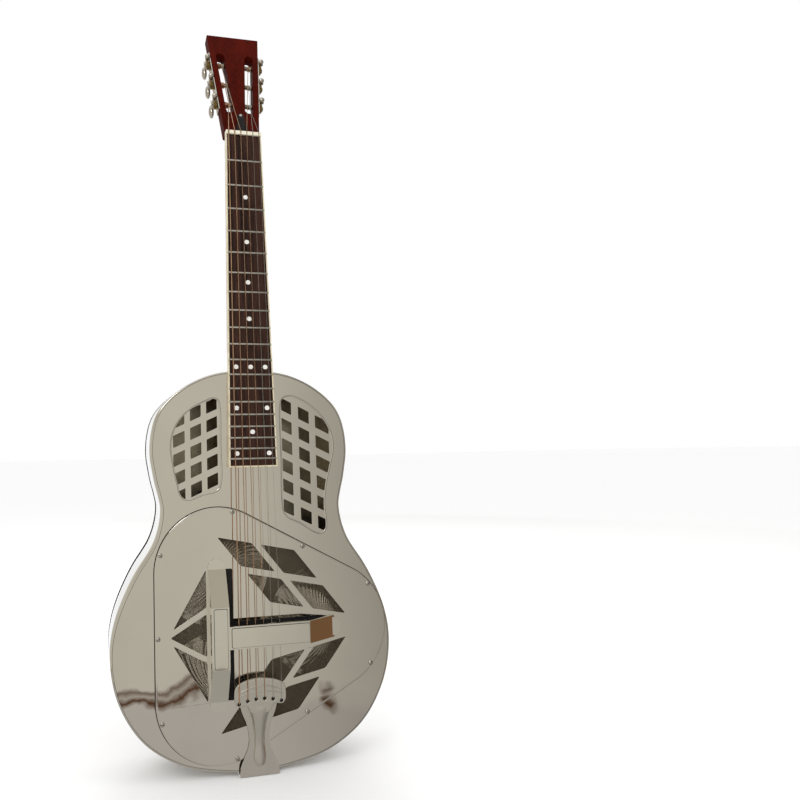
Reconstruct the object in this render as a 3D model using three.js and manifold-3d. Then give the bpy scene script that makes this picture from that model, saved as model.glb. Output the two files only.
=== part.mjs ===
// A tricone resonator guitar: a sheet-metal body with three spun cones under a cover plate,
// a twelve-fret neck and a slotted headstock. Millimetres, +Z up the neck, front facing -Y.
// The design frame has x = 0 on the centre line, y = 0 on the front of the top plate and
// z = 0 where the neck meets the body. The exported group moves that frame so that the
// origin is where a wall hanger's yoke holds the guitar, behind the nut.
import * as THREE from 'three';
import { mergeVertices } from 'three/addons/utils/BufferGeometryUtils.js';
import Module from 'manifold-3d';

const wasm = await Module();
wasm.setup();

// ---- driving dimensions ----
const GAP = 0.3;                 // clearance between separate pieces
const SCALE = 635;               // nut to saddle
const FRETS = 19;
const FRET_HEIGHT = 0.9;
const STRINGS = 6;
const NUT_Z = 315.5;
const SADDLE_Z = NUT_Z - SCALE;
const HANG = new THREE.Vector3(0, 27, 330);

const BODY_DEPTH = 80;
const SHEET = 1.5;               // thickness of the body sheet
const BACK_RIM = 24;             // flat band around the pressed back panel
const BACK_RAISE = 3.5;

const BOARD_THICK = 6;
const BOARD_END_Z = -118;
const NUT_HALF = 23.8;           // half width of the board at the nut, over the binding
const END_HALF = 31;             // the same at the body end
const BINDING = 1.8;
const NECK_SLOPE = Math.tan(THREE.MathUtils.degToRad(1.5));
const ACTION = 3.1;              // string centres above the board at the body joint
const NUT_RISE = 1.9;            // string centres above the board at the nut
const NUT_SPREAD = 8.1;          // string spacing at the nut
const TAIL_SPREAD = 10.5;        // string spacing at the tailpiece
const STRING_RADII = [0.66, 0.56, 0.46, 0.36, 0.26, 0.22];

const HEAD_TILT = THREE.MathUtils.degToRad(15);
const HEAD_LENGTH = 170;
const HEAD_THICK = 15;
const HEAD_TOP_HALF = 37.1;
const SLOT_INSET = 13.6;         // slot centre line to the side of the head
const SLOT_WIDTH = 11;
const SLOT_START = 36;
const SLOT_END = 138;
const POSTS = [53, 87.5, 122];   // string posts, measured up the head from the nut

const CONE_RADIUS = 70.5;
const COVER_RADIUS = 78;
const MIDLINE_Z = -319.6;        // the cover plate is the same above and below this line
const CONES = [
  ['cone_bass_upper', -46.4, MIDLINE_Z + 75],
  ['cone_bass_lower', -46.4, MIDLINE_Z - 75],
  ['cone_treble', 92.7, MIDLINE_Z],
];
const WELL_FLOOR = 24;           // depth of the ledge that the cones stand on
const CONE_TOP = 1.4;            // depth of the cones' tops
const COVER_FRONT = -3;          // front face of the cover plate
const HOOD_FRONT = -23.5;        // front face of the bridge cover
const HOOD_SHEET = 1.6;
const BAR_X = -48.4;             // centre line of the bridge cover's upright bar
const BAR_HALF = 11;
const BAR_REACH = 82;            // half length of the bar
const BAR_FLAT = 36;             // half length of its flat top
const STEM_HALF = 13.3;
const STEM_FLAT_X = 62.7;
const STEM_END_X = 101.3;
const FOOT_RADIUS = 11;

// ---- materials ----
function metal(color, roughness) {
  return new THREE.MeshStandardMaterial({ color, roughness, metalness: 1 });
}
function plain(color, roughness) {
  return new THREE.MeshStandardMaterial({ color, roughness, metalness: 0 });
}
const nickel = metal(0xb9b2a4, 0.08);
const steel = metal(0xa8a8a6, 0.3);
const aluminium = metal(0xc4c3bf, 0.4);
const brass = metal(0x8a713c, 0.35);
const bronze = metal(0xb9854e, 0.35);
const meshMetal = metal(0x6d6a64, 0.6);
const mahogany = plain(0x7a2a12, 0.25);
const maple = plain(0xc79a62, 0.5);
const rosewood = plain(0x2b1712, 0.5);
const cream = plain(0xe6dcc0, 0.4);
const black = plain(0x141212, 0.3);

// ---- geometry helpers ----
// Joins shared corners, drops triangles with no area and turns the faces outwards.
function closed(geometry) {
  const bare = new THREE.BufferGeometry();
  bare.setAttribute('position', geometry.getAttribute('position').clone());
  if (geometry.index) bare.setIndex(geometry.index.clone());
  const merged = mergeVertices(bare, 1e-4);
  const order = [];
  for (let i = 0; i < merged.index.count; i += 3) {
    const [a, b, c] = [0, 1, 2].map((k) => merged.index.getX(i + k));
    if (a !== b && b !== c && c !== a) order.push(a, b, c);
  }
  merged.setIndex(order);
  return signedVolume(merged) < 0 ? flipped(merged) : merged;
}

function solid(geometry) {
  const ready = closed(geometry);
  return new wasm.Manifold(new wasm.Mesh({
    numProp: 3,
    vertProperties: new Float32Array(ready.getAttribute('position').array),
    triVerts: new Uint32Array(ready.index.array),
  }));
}

function geometryOf(manifold) {
  const out = manifold.getMesh();
  const geometry = new THREE.BufferGeometry();
  geometry.setAttribute('position', new THREE.BufferAttribute(out.vertProperties, 3));
  geometry.setIndex(new THREE.BufferAttribute(out.triVerts, 1));
  return geometry;
}

function mesh(name, geometry, material) {
  const out = new THREE.Mesh(closed(geometry), material);
  out.name = name;
  return out;
}

function points2(list) {
  return list.map(([x, z]) => new THREE.Vector2(x, z));
}

// A smooth closed outline through a few points, sampled evenly.
function smoothOutline(list, count) {
  const curve = new THREE.CatmullRomCurve3(
    list.map(([x, z]) => new THREE.Vector3(x, z, 0)), true, 'centripetal');
  return curve.getSpacedPoints(count).slice(0, count).map((p) => new THREE.Vector2(p.x, p.y));
}

// Moves a closed outline inwards (outwards where the distance is negative).
function inset(outline, distance) {
  const turn = THREE.ShapeUtils.isClockWise(outline) ? -1 : 1;
  return outline.map((point, i) => {
    const before = outline[(i + outline.length - 1) % outline.length];
    const after = outline[(i + 1) % outline.length];
    const along = after.clone().sub(before).normalize();
    return point.clone().add(new THREE.Vector2(-along.y, along.x).multiplyScalar(turn * distance));
  });
}

// A flat plate whose outline lies in x and z, between two depths.
function plate(outline, front, back, holes = []) {
  const wound = outline instanceof THREE.Shape || !THREE.ShapeUtils.isClockWise(outline)
    ? outline : outline.slice().reverse();
  const shape = wound instanceof THREE.Shape ? wound : new THREE.Shape(wound);
  shape.holes = holes.map((hole) => new THREE.Path(hole));
  const geometry = new THREE.ExtrudeGeometry(shape,
    { depth: back - front, bevelEnabled: false, curveSegments: 10 });
  return geometry.rotateX(Math.PI / 2).translate(0, back, 0);
}

// A closed skin through rings of equal length, with a flat cap on the first and the last.
function loft(rings, flat) {
  const count = rings[0].length;
  const index = [];
  for (let r = 0; r + 1 < rings.length; r += 1) {
    for (let i = 0; i < count; i += 1) {
      const j = (i + 1) % count;
      const [a, b, c, d] = [r * count + i, r * count + j, (r + 1) * count + i, (r + 1) * count + j];
      index.push(a, b, c, b, d, c);
    }
  }
  const cap = (ring, offset, along) => {
    const outline = ring.map(flat);
    const area = THREE.ShapeUtils.area(outline);
    THREE.ShapeUtils.triangulateShape(outline, []).forEach((face) => {
      const sameWay = THREE.ShapeUtils.area(face.map((k) => outline[k])) * area > 0;
      const ordered = sameWay === along ? face : [face[0], face[2], face[1]];
      index.push(...ordered.map((k) => k + offset));
    });
  };
  cap(rings[0], 0, false);
  cap(rings[rings.length - 1], (rings.length - 1) * count, true);
  const geometry = new THREE.BufferGeometry();
  geometry.setAttribute('position',
    new THREE.Float32BufferAttribute(rings.flat().flatMap((p) => [p.x, p.y, p.z]), 3));
  geometry.setIndex(index);
  return geometry;
}

function signedVolume(geometry) {
  const position = geometry.getAttribute('position');
  const [a, b, c] = [new THREE.Vector3(), new THREE.Vector3(), new THREE.Vector3()];
  let total = 0;
  for (let i = 0; i < geometry.index.count; i += 3) {
    a.fromBufferAttribute(position, geometry.index.getX(i));
    b.fromBufferAttribute(position, geometry.index.getX(i + 1));
    c.fromBufferAttribute(position, geometry.index.getX(i + 2));
    total += a.dot(b.cross(c)) / 6;
  }
  return total;
}

function flipped(geometry) {
  const order = Array.from(geometry.index.array);
  for (let i = 0; i < order.length; i += 3) [order[i], order[i + 1]] = [order[i + 1], order[i]];
  geometry.setIndex(order);
  return geometry;
}

const onXZ = (p) => new THREE.Vector2(p.x, p.z);
const onXY = (p) => new THREE.Vector2(p.x, p.y);

// A straight-sided bar along z; each station is [z, half width, front y, back y].
function bar(stations) {
  return loft(stations.map(([z, half, front, back]) => [
    new THREE.Vector3(-half, front, z), new THREE.Vector3(half, front, z),
    new THREE.Vector3(half, back, z), new THREE.Vector3(-half, back, z),
  ]), onXY);
}

function box(x0, x1, y0, y1, z0, z1) {
  return new THREE.BoxGeometry(x1 - x0, y1 - y0, z1 - z0)
    .translate((x0 + x1) / 2, (y0 + y1) / 2, (z0 + z1) / 2);
}

// A turned piece whose axis runs along y at (x, z); the profile is [radius, y] pairs.
function turned(profile, sides, x = 0, z = 0) {
  return new THREE.LatheGeometry(points2(profile), sides).translate(x, 0, z);
}

function disc(x, z, radius, y0, y1, sides) {
  return turned([[0, y0], [radius, y0], [radius, y1], [0, y1]], sides, x, z);
}

// A prism along z, centred on z = 0, from a profile of [x, y] points.
function sideProfile(profile, half) {
  const shape = new THREE.Shape(points2(profile));
  return new THREE.ExtrudeGeometry(shape, { depth: 2 * half, bevelEnabled: false })
    .translate(0, 0, -half);
}

function unionOf(geometries) {
  return geometries.map(solid).reduce((sum, next) => sum.add(next));
}

function cut(geometry, cutters) {
  return geometryOf(cutters.map(solid).reduce((left, next) => left.subtract(next), solid(geometry)));
}

// A run of straight lengths joined at the given points, for wire.
class Run extends THREE.Curve {
  constructor(points) {
    super();
    this.points = points;
  }
  getSpacedPoints() {
    return this.points;
  }
  getTangentAt(t) {
    const last = this.points.length - 1;
    const i = Math.round(t * last);
    return this.points[Math.min(i + 1, last)].clone()
      .sub(this.points[Math.max(i - 1, 0)]).normalize();
  }
}

function wire(points, radius, sides) {
  const section = new THREE.Shape(Array.from({ length: sides }, (_, i) => {
    const angle = i / sides * 2 * Math.PI;
    return new THREE.Vector2(radius * Math.cos(angle), radius * Math.sin(angle));
  }));
  return new THREE.ExtrudeGeometry(section,
    { steps: points.length - 1, extrudePath: new Run(points), bevelEnabled: false });
}

// ---- outlines ----
const BODY_HALF = [
  [44, 0], [84.7, -17.3], [116.6, -48], [127, -92], [121.5, -135], [114.5, -168], [122.5, -206],
  [149.7, -250], [171, -299], [177.2, -340], [168, -391], [139, -438.5], [95, -468.5], [46, -481.5],
];
const bodyOutline = smoothOutline([
  [0, 3.2], ...BODY_HALF, [0, -485.6],
  ...BODY_HALF.slice().reverse().map(([x, z]) => [-x, z]),
], 88);

const grilleTreble = smoothOutline([
  [40, -42], [43, -32], [53, -29.5], [75, -39], [95, -57], [105.5, -76], [108, -95], [103.7, -116],
  [97, -141], [93.8, -168], [95.6, -192], [93, -202.5], [84.3, -203], [62, -189.5], [43.5, -179.5],
  [40, -168], [39.8, -105],
], 44);

const grilleBass = smoothOutline([
  [-40.7, -42], [-44, -32], [-51, -33], [-77, -46], [-94, -64.5], [-101, -87], [-99, -112],
  [-93.3, -139], [-89.5, -152], [-81, -155.8], [-62, -149.6], [-45, -145.8], [-40.7, -136],
  [-40.5, -90],
], 40);

// The outline around three equal circles: each edge moved out, with an arc at each corner.
function aroundCones(radius, steps = 10) {
  const corners = CONES.map(([, x, z]) => new THREE.Vector2(x, z));
  const out = [];
  corners.forEach((corner, i) => {
    const before = corners[(i + 2) % 3];
    const after = corners[(i + 1) % 3];
    const from = Math.atan2(corner.y - before.y, corner.x - before.x) - Math.PI / 2;
    let to = Math.atan2(after.y - corner.y, after.x - corner.x) - Math.PI / 2;
    while (to < from) to += 2 * Math.PI;
    for (let k = 0; k <= steps; k += 1) {
      const angle = from + (to - from) * k / steps;
      out.push(new THREE.Vector2(corner.x + radius * Math.cos(angle),
        corner.y + radius * Math.sin(angle)));
    }
  });
  return out;
}

const mirrored = (outline) => outline.map(([x, z]) => [x, 2 * MIDLINE_Z - z]);

// Four slanted windows above the midline and four below it, and three to the left of the bar.
function coverWindows() {
  const across = [43, -8.8];
  const down = [28.7, -36];
  const pitch = 1.272;
  const corner = [-46.4, -203.3];
  const at = (i, j) => [corner[0] + i * across[0] + j * down[0],
    corner[1] + i * across[1] + j * down[1]];
  const upper = [];
  for (let i = 0; i < 2; i += 1) {
    for (let j = 0; j < 2; j += 1) {
      const [u, v] = [i * pitch, j * pitch];
      upper.push([at(u, v), at(u + 1, v), at(u + 1, v + 1), at(u, v + 1)]);
    }
  }
  const fin = [[-61.7, -241.7], [-61.7, -286.7], [-102.4, -310]];
  const middle = [[-105.7, MIDLINE_Z], [-61.7, -294.5], [-61.7, 2 * MIDLINE_Z + 294.5]];
  return [...upper, ...upper.map(mirrored), fin, mirrored(fin), middle];
}

// Nine screws just inside the cover's edge: around the cones, and halfway along each side.
function coverScrewPlaces() {
  const screwCircle = COVER_RADIUS - 3.6;
  const around = ([, x, z], degrees) => {
    const angle = THREE.MathUtils.degToRad(degrees);
    return [x + screwCircle * Math.cos(angle), z + screwCircle * Math.sin(angle)];
  };
  const [upper, , treble] = CONES;
  const sideNormal = 61.7;
  const [x, z] = around(upper, sideNormal);
  const halfway = [x + (treble[1] - upper[1]) * 0.53, z + (treble[2] - upper[2]) * 0.53];
  const half = [around(upper, 162), around(upper, 75), halfway, around(treble, 41.5)];
  return [...half, ...mirrored(half), [upper[1] - screwCircle, MIDLINE_Z]];
}
const COVER_SCREWS = coverScrewPlaces();

// ---- heights along the neck ----
const neckTop = (z) => z * NECK_SLOPE;
const boardTop = (z) => neckTop(z) - GAP - BOARD_THICK;
const boardHalf = (z) => NUT_HALF + (END_HALF - NUT_HALF) * (NUT_Z - z) / (NUT_Z - BOARD_END_Z);
const stringSlope = (boardTop(NUT_Z) - NUT_RISE - boardTop(0) + ACTION) / NUT_Z;
const stringY = (z) => boardTop(0) - ACTION + z * stringSlope;

// ---- the body ----
function topPlate() {
  const well = aroundCones(CONE_RADIUS + 0.6);
  const blank = plate(bodyOutline, 0, SHEET, [grilleBass, grilleTreble, well]);
  const holes = COVER_SCREWS.map(([x, z]) => disc(x, z, 1.6, -1, SHEET + 1, 8));
  return mesh('top_plate', cut(blank, holes), nickel);
}

function sideRim() {
  const ring = plate(bodyOutline, SHEET + GAP, BODY_DEPTH - SHEET - GAP, [inset(bodyOutline, SHEET)]);
  const stickHole = box(-14, 14, 28, 52, -10, 10);
  return mesh('side_rim', cut(ring, [stickHole]), nickel);
}

function backPlate() {
  const ring = (distance, y) => inset(bodyOutline, distance).map((p) => new THREE.Vector3(p.x, y, p.y));
  const outer = BODY_DEPTH;
  const inner = BODY_DEPTH - SHEET;
  const rings = [
    ring(BACK_RIM + 16, outer + BACK_RAISE),
    ring(BACK_RIM + 5, outer + BACK_RAISE - 1),
    ring(BACK_RIM, outer),
    ring(0, outer),
    ring(0, inner),
    ring(BACK_RIM, inner),
    ring(BACK_RIM + 5, inner + BACK_RAISE - 1),
    ring(BACK_RIM + 16, inner + BACK_RAISE),
  ];
  return mesh('back_plate', loft(rings, onXZ), nickel);
}

// A lattice behind one opening: upright slots crossed by slanting strips.
function grille(name, outline, columns, firstHole, lastHole, pitch, tall, slope) {
  const margin = -6;
  const blank = solid(plate(inset(outline, margin), SHEET + GAP, SHEET + GAP + 1));
  const window = solid(plate(inset(outline, margin + 3), 0, 6));
  const holes = [];
  for (const [left, right] of columns) {
    for (let z = firstHole; z > lastHole; z -= pitch) {
      const top = (x) => z + (x - columns[0][0]) * slope;
      holes.push(plate(points2([[left, top(left)], [right, top(right)],
        [right, top(right) - tall], [left, top(left) - tall]]), 0, 6));
    }
  }
  const cutters = unionOf(holes).intersect(window);
  return mesh(name, geometryOf(blank.subtract(cutters)), nickel);
}

function soundWell() {
  const outer = plate(aroundCones(CONE_RADIUS + 2.4), SHEET + GAP, WELL_FLOOR + 1.2);
  const room = plate(aroundCones(CONE_RADIUS + 1.2), 0, WELL_FLOOR);
  const mouths = CONES.map(([, x, z]) => disc(x, z, CONE_RADIUS - 5, 10, 40, 40));
  return mesh('sound_well', cut(outer, [room, ...mouths]), nickel);
}

// A spun cone: a flat rim on the ledge, a straight flank and a small flat top.
function cone([name, x, z]) {
  const rim = WELL_FLOOR - GAP;
  const t = 0.8;
  const profile = [
    [0, CONE_TOP], [10, CONE_TOP], [64, rim - t], [CONE_RADIUS, rim - t], [CONE_RADIUS, rim],
    [63.5, rim], [9.5, CONE_TOP + t], [0, CONE_TOP + t],
  ];
  return mesh(name, turned(profile, 28, x, z), aluminium);
}

// The cast T that stands on the three cones, with both arms falling away at their ends.
function tBridge() {
  const front = stringY(SADDLE_Z) + 5.2;
  const back = CONE_TOP - GAP;
  const upright = bar([[-72, 3, back - 3.4, back], [-44, 4, front + 3, back],
    [44, 4, front + 3, back], [72, 3, back - 3.4, back]]).translate(CONES[0][1], 0, MIDLINE_Z);
  const stem = sideProfile([[-44, back], [-44, front], [58, front], [90, back - 3.4], [90, back]], 4)
    .translate(0, 0, MIDLINE_Z);
  return mesh('t_bridge', geometryOf(unionOf([upright, stem])), aluminium);
}

function saddle() {
  const front = stringY(SADDLE_Z);
  return mesh('saddle', box(-31, 31, front + 1, front + 5.2 - GAP,
    SADDLE_Z - 1.6, SADDLE_Z + 1.6), maple);
}

const HOOD_OPENING = {
  bar: [-57, -28.7, MIDLINE_Z - 78, MIDLINE_Z + 78],
  stem: [-30, 92, MIDLINE_Z - 16.5, MIDLINE_Z + 16.5],
};

function hoodOpening(front, back, margin = 0) {
  return Object.values(HOOD_OPENING).map(([x0, x1, z0, z1]) =>
    box(x0 - margin, x1 + margin, front, back, z0 - margin, z1 + margin));
}

function coverPlate() {
  const ring = (radius, y) => aroundCones(radius).map((p) => new THREE.Vector3(p.x, y, p.y));
  const outer = loft([
    ring(COVER_RADIUS - 2, COVER_FRONT), ring(COVER_RADIUS, COVER_FRONT + 1.6),
    ring(COVER_RADIUS, -GAP),
  ], onXZ);
  const room = plate(aroundCones(COVER_RADIUS - 3), COVER_FRONT + 1.2, 2);
  const windows = coverWindows().map((w) => plate(points2(w), -9, 2));
  const holes = COVER_SCREWS.map(([x, z]) => disc(x, z, 1.6, -9, 2, 8));
  return mesh('cover_plate',
    cut(outer, [room, ...windows, ...holes, ...hoodOpening(-9, 2)]), nickel);
}

function coverScreen() {
  const blank = plate(aroundCones(COVER_RADIUS - 3.4), COVER_FRONT + 1.5, COVER_FRONT + 2.1);
  const holes = COVER_SCREWS.map(([x, z]) => disc(x, z, 2, -9, 2, 8));
  return mesh('cover_screen', cut(blank, [...hoodOpening(-9, 2, 0.4), ...holes]), meshMetal);
}

function coverScrews() {
  const head = COVER_FRONT - GAP;
  const profile = [[0, head - 1.6], [1.8, head - 1.3], [3, head - 0.4], [3, head], [1.2, head],
    [1.2, 8], [0, 8]];
  return COVER_SCREWS.map(([x, z], i) => mesh(`cover_screw_${i + 1}`, turned(profile, 10, x, z), steel));
}

// One arm of the bridge cover, as a side profile [along, y] with sloping ends.
function hoodArm(profile, half, upright, at) {
  const arm = sideProfile(profile, half);
  return upright ? arm.rotateY(-Math.PI / 2).translate(BAR_X, 0, at) : arm.translate(0, 0, at);
}

function hoodProfile(foot, flat0, flat1, end, base, drop) {
  return [[foot, base], [flat0, HOOD_FRONT + drop], [flat1, HOOD_FRONT + drop], [end, base]];
}

function bridgeCover() {
  const base = COVER_FRONT - GAP;
  const s = HOOD_SHEET;
  const barOuter = hoodArm(hoodProfile(-BAR_REACH, -BAR_FLAT, BAR_FLAT, BAR_REACH, base, 0),
    BAR_HALF, true, MIDLINE_Z);
  const barInner = hoodArm(hoodProfile(-BAR_REACH + 3, -BAR_FLAT, BAR_FLAT, BAR_REACH - 3, base + 3, s),
    BAR_HALF, true, MIDLINE_Z).translate(s, 0, 0);
  const stemProfile = (start, end, y, drop) =>
    [[start, y], [start, HOOD_FRONT + drop], [STEM_FLAT_X, HOOD_FRONT + drop], [end, y]];
  const stemOuter = hoodArm(stemProfile(BAR_X, STEM_END_X, base, 0), STEM_HALF, false, MIDLINE_Z);
  const stemInner = hoodArm(stemProfile(BAR_X - BAR_HALF + s, STEM_END_X - 3, base + 3, s),
    STEM_HALF + 4, false, MIDLINE_Z);
  const feet = [
    [BAR_X, MIDLINE_Z + BAR_REACH - 2], [BAR_X, MIDLINE_Z - BAR_REACH + 2],
    [STEM_END_X - 2, MIDLINE_Z],
  ].map(([x, z]) => disc(x, z, FOOT_RADIUS, base - s, base, 20));
  const walls = unionOf([barOuter, stemOuter]).subtract(unionOf([barInner, stemInner]));
  const joined = walls.add(unionOf(feet));
  return mesh('bridge_cover', geometryOf(joined), nickel);
}

// ---- the tailpiece ----
const TAIL_HOLES_Z = -394.5;
const TAIL_FRONT = -15.5;
const TAIL_SHEET = 3;
const TAIL_FALL = 7;             // how far the spine drops from the head to its round end
const STRAP_FRONT = -5.2;

const tailHole = (i) => {
  const x = (i - (STRINGS - 1) / 2) * TAIL_SPREAD;
  return [x, TAIL_HOLES_Z - 4.5 * (x / 26) ** 2];
};

// An outline from its right half, listed down from the centre line and back to it.
function bothSides(half) {
  return points2([...half, ...half.slice().reverse().filter(([x]) => x > 0).map(([x, z]) => [-x, z])]);
}

// An arched comb with six holes, on a spine that falls towards the tail and ends round.
function tailpiece() {
  const outline = bothSides([
    [0, -370.5], [14, -371.8], [25, -375.5], [30.5, -380], [32, -387], [32, -396], [29.5, -401],
    [25, -402.5], [19, -401.5], [14.5, -404.5], [10.5, -411], [7.5, -423], [5.8, -438],
    [5.8, -452], [7.4, -464], [6.6, -471], [4, -474.5], [0, -475.8],
  ]);
  const holes = Array.from({ length: STRINGS }, (_, i) => tailHole(i))
    .map(([x, z]) => disc(x, z, 2, TAIL_FRONT - 2, TAIL_FRONT + TAIL_SHEET + 2, 10));
  const geometry = cut(plate(outline, TAIL_FRONT, TAIL_FRONT + TAIL_SHEET), holes);
  const position = geometry.getAttribute('position');
  for (let i = 0; i < position.count; i += 1) {
    const fall = THREE.MathUtils.smoothstep(-position.getZ(i), 401, 455);
    position.setY(i, position.getY(i) + TAIL_FALL * fall);
  }
  return mesh('tailpiece', geometry, nickel);
}

// The waisted strap under the spine, folded over the tail of the body.
function tailStrap() {
  const end = -487.8;
  const outline = bothSides([
    [0, -404], [23.5, -404], [21, -413], [16, -425], [13, -437], [12.2, -447], [14.5, -457],
    [19.5, -467], [23.6, -477], [24.6, end], [0, end],
  ]);
  const front = plate(outline, STRAP_FRONT, STRAP_FRONT + SHEET);
  const wrap = box(-24.6, 24.6, STRAP_FRONT, 34, end, end + 1.7);
  return mesh('tail_strap', geometryOf(unionOf([front, wrap])), nickel);
}

// ---- the neck ----
// One section of the neck: full width at the board, narrowing to a cap at its deepest point.
function neckSection(z, half, depth, cap, power) {
  const levels = 9;
  const side = Array.from({ length: levels + 1 }, (_, k) => {
    const v = Math.sin(k / levels * Math.PI / 2);
    return [cap + (half - cap) * (1 - v ** power) ** (1 / power), neckTop(z) + depth * v];
  });
  return [
    ...side.map(([x, y]) => new THREE.Vector3(-x, y, z)),
    ...side.reverse().map(([x, y]) => new THREE.Vector3(x, y, z)),
  ];
}

function neckShaft() {
  const stations = [
    [NUT_Z + 6, 15.5, 1, 2.2], [NUT_Z - 12, 16, 1, 2.2], [180, 17, 1, 2.2], [70, 18.5, 1, 2.2],
    [52, 20.5, 1, 2.1], [41, 26, 1, 1.9], [33, 37, 1.2, 1.6], [28, 52, 1.6, 1.4], [25.5, 66, 2, 1.25],
    [18, 67, 7, 1.15], [10, 67.5, 9.8, 1.1], [3.9, 68, 11, 1.1],
  ];
  return loft(stations.map(([z, depth, cap, power]) =>
    neckSection(z, boardHalf(z) - 0.2, depth, cap, power)), onXY);
}

// The head's own frame: y = 0 on its front face, z up the head from the nut.
const headFrame = new THREE.Group();
headFrame.position.set(0, neckTop(NUT_Z + 5), NUT_Z + 5);
headFrame.rotation.x = -HEAD_TILT;
headFrame.updateMatrix();

const headHalf = (s) => NUT_HALF - 0.2 + (HEAD_TOP_HALF - NUT_HALF) * s / HEAD_LENGTH;
const flare = Math.atan((HEAD_TOP_HALF - NUT_HALF) / HEAD_LENGTH);

function headBlank() {
  const outline = points2([
    [-headHalf(0), 0.2], [headHalf(0), 0.2], [headHalf(HEAD_LENGTH), HEAD_LENGTH],
    [-headHalf(HEAD_LENGTH), HEAD_LENGTH],
  ]);
  return plate(outline, 0, HEAD_THICK);
}

function headSlot(side) {
  const r = SLOT_WIDTH / 2;
  const axis = (s) => side * (headHalf(s) - SLOT_INSET);
  const shape = new THREE.Shape();
  shape.absarc(axis(SLOT_END - r), SLOT_END - r, r, 0, Math.PI, false);
  shape.absarc(axis(SLOT_START + r), SLOT_START + r, r, Math.PI, 2 * Math.PI, false);
  return plate(shape, -2, HEAD_THICK + 2);
}

// The nut end of each slot is eased so that the strings clear the wood.
function slotRamp(side) {
  const middle = 34;
  return bar([[24, 5, -3, -0.4], [43, 5, -3, 5.6]])
    .translate(side * (headHalf(middle) - SLOT_INSET + 0.6), 0, 0);
}

// A tuner bank's frame: x outwards from the side of the head, y = 0 at half its thickness,
// z along the side. The bass bank is turned half round, so its y points to the front.
function bankFrame(side) {
  const frame = new THREE.Group();
  frame.position.set(side * headHalf(0), HEAD_THICK / 2, 0);
  frame.rotation.order = 'YXZ';
  frame.rotation.y = side * flare;
  frame.rotation.z = side < 0 ? Math.PI : 0;
  frame.updateMatrix();
  return frame;
}

function alongX(radius, x0, x1, z, sides) {
  return disc(0, 0, radius, x0, x1, sides).rotateZ(-Math.PI / 2).translate(0, 0, z);
}

function neck() {
  const bores = [-1, 1].flatMap((side) => POSTS.map((s) =>
    alongX(2.4, -25, 3, s, 12).applyMatrix4(bankFrame(side).matrix)));
  const slots = [-1, 1].flatMap((side) => [headSlot(side), slotRamp(side)]);
  const head = cut(headBlank(), [...slots, ...bores]).applyMatrix4(headFrame.matrix);
  const rodGroove = bar([
    [8, 3.4, neckTop(8) - 2, neckTop(8) + 9.6], [338, 3.4, neckTop(338) - 6, neckTop(338) + 9.6],
  ]);
  const joined = unionOf([neckShaft(), head]).subtract(solid(rodGroove));
  return mesh('neck', geometryOf(joined), mahogany);
}

function trussRod() {
  const span = [12, NUT_Z + 12];
  return mesh('truss_rod', bar(span.map((z) => [z, 3, neckTop(z) + 3.5, neckTop(z) + 9])), steel);
}

function neckStick() {
  return mesh('neck_stick', box(-13, 13, 29, 51, -481, 3.4), maple);
}

const fretZ = (n) => NUT_Z - SCALE * (1 - 2 ** (-n / 12));

function boardStations(margin, front, back, start, end) {
  const under = (z) => (z > 0 ? neckTop(z) : 0) - GAP;
  return [end, 0, start].map((z) =>
    [z, boardHalf(z) - margin, boardTop(z) + front, under(z) + back]);
}

function fretboard() {
  const edge = BINDING + GAP;
  const blank = bar(boardStations(edge, 0, 0, NUT_Z - GAP, BOARD_END_Z + edge));
  const wires = Array.from({ length: FRETS }, (_, i) => fretZ(i + 1)).map((z) => {
    const half = boardHalf(z) - edge - 0.1;
    return bar([
      [z - 1.1, half, boardTop(z) - 0.3, boardTop(z) + 1],
      [z - 0.5, half, boardTop(z) - FRET_HEIGHT, boardTop(z) + 1],
      [z + 0.5, half, boardTop(z) - FRET_HEIGHT, boardTop(z) + 1],
      [z + 1.1, half, boardTop(z) - 0.3, boardTop(z) + 1],
    ]);
  });
  return mesh('fretboard', geometryOf(unionOf([blank, ...wires])), rosewood);
}

function fretboardBinding() {
  const outer = bar(boardStations(0, 0, 0, NUT_Z - GAP, BOARD_END_Z));
  const inner = bar(boardStations(BINDING, -2, 2, NUT_Z + 9, BOARD_END_Z + BINDING));
  return mesh('fretboard_binding', cut(outer, [inner]), cream);
}

const stringX = (i, z) => {
  const share = (NUT_Z - z) / (NUT_Z - TAIL_HOLES_Z);
  return (i - (STRINGS - 1) / 2) * (NUT_SPREAD + (TAIL_SPREAD - NUT_SPREAD) * share);
};

function nut() {
  const [z0, z1] = [NUT_Z, NUT_Z + 4.7];
  const front = boardTop(NUT_Z) - NUT_RISE - 0.4;
  const blank = box(-NUT_HALF, NUT_HALF, front, neckTop(z0) - GAP, z0, z1);
  const grooves = STRING_RADII.map((r, i) => {
    const x = stringX(i, NUT_Z);
    return box(x - r - GAP, x + r + GAP, front - 1, stringY(NUT_Z) + r + GAP + 0.2, z0 - 1, z1 + 1);
  });
  return mesh('nut', cut(blank, grooves), cream);
}

const TRUSS_SCREW_S = 29;        // the cover's screw, up the head from the nut

function trussCover() {
  const outline = points2([
    [-8.5, 1.5], [8.5, 1.5], [7.6, 10], [5.6, 19], [4.6, 27], [3.4, 31], [0, 33], [-3.4, 31], [-4.6, 27],
    [-5.6, 19], [-7.6, 10],
  ]);
  const hole = disc(0, TRUSS_SCREW_S, 1.4, -9, 2, 8);
  return mesh('truss_rod_cover', cut(plate(outline, -GAP - 1.6, -GAP), [hole]), black);
}

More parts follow.
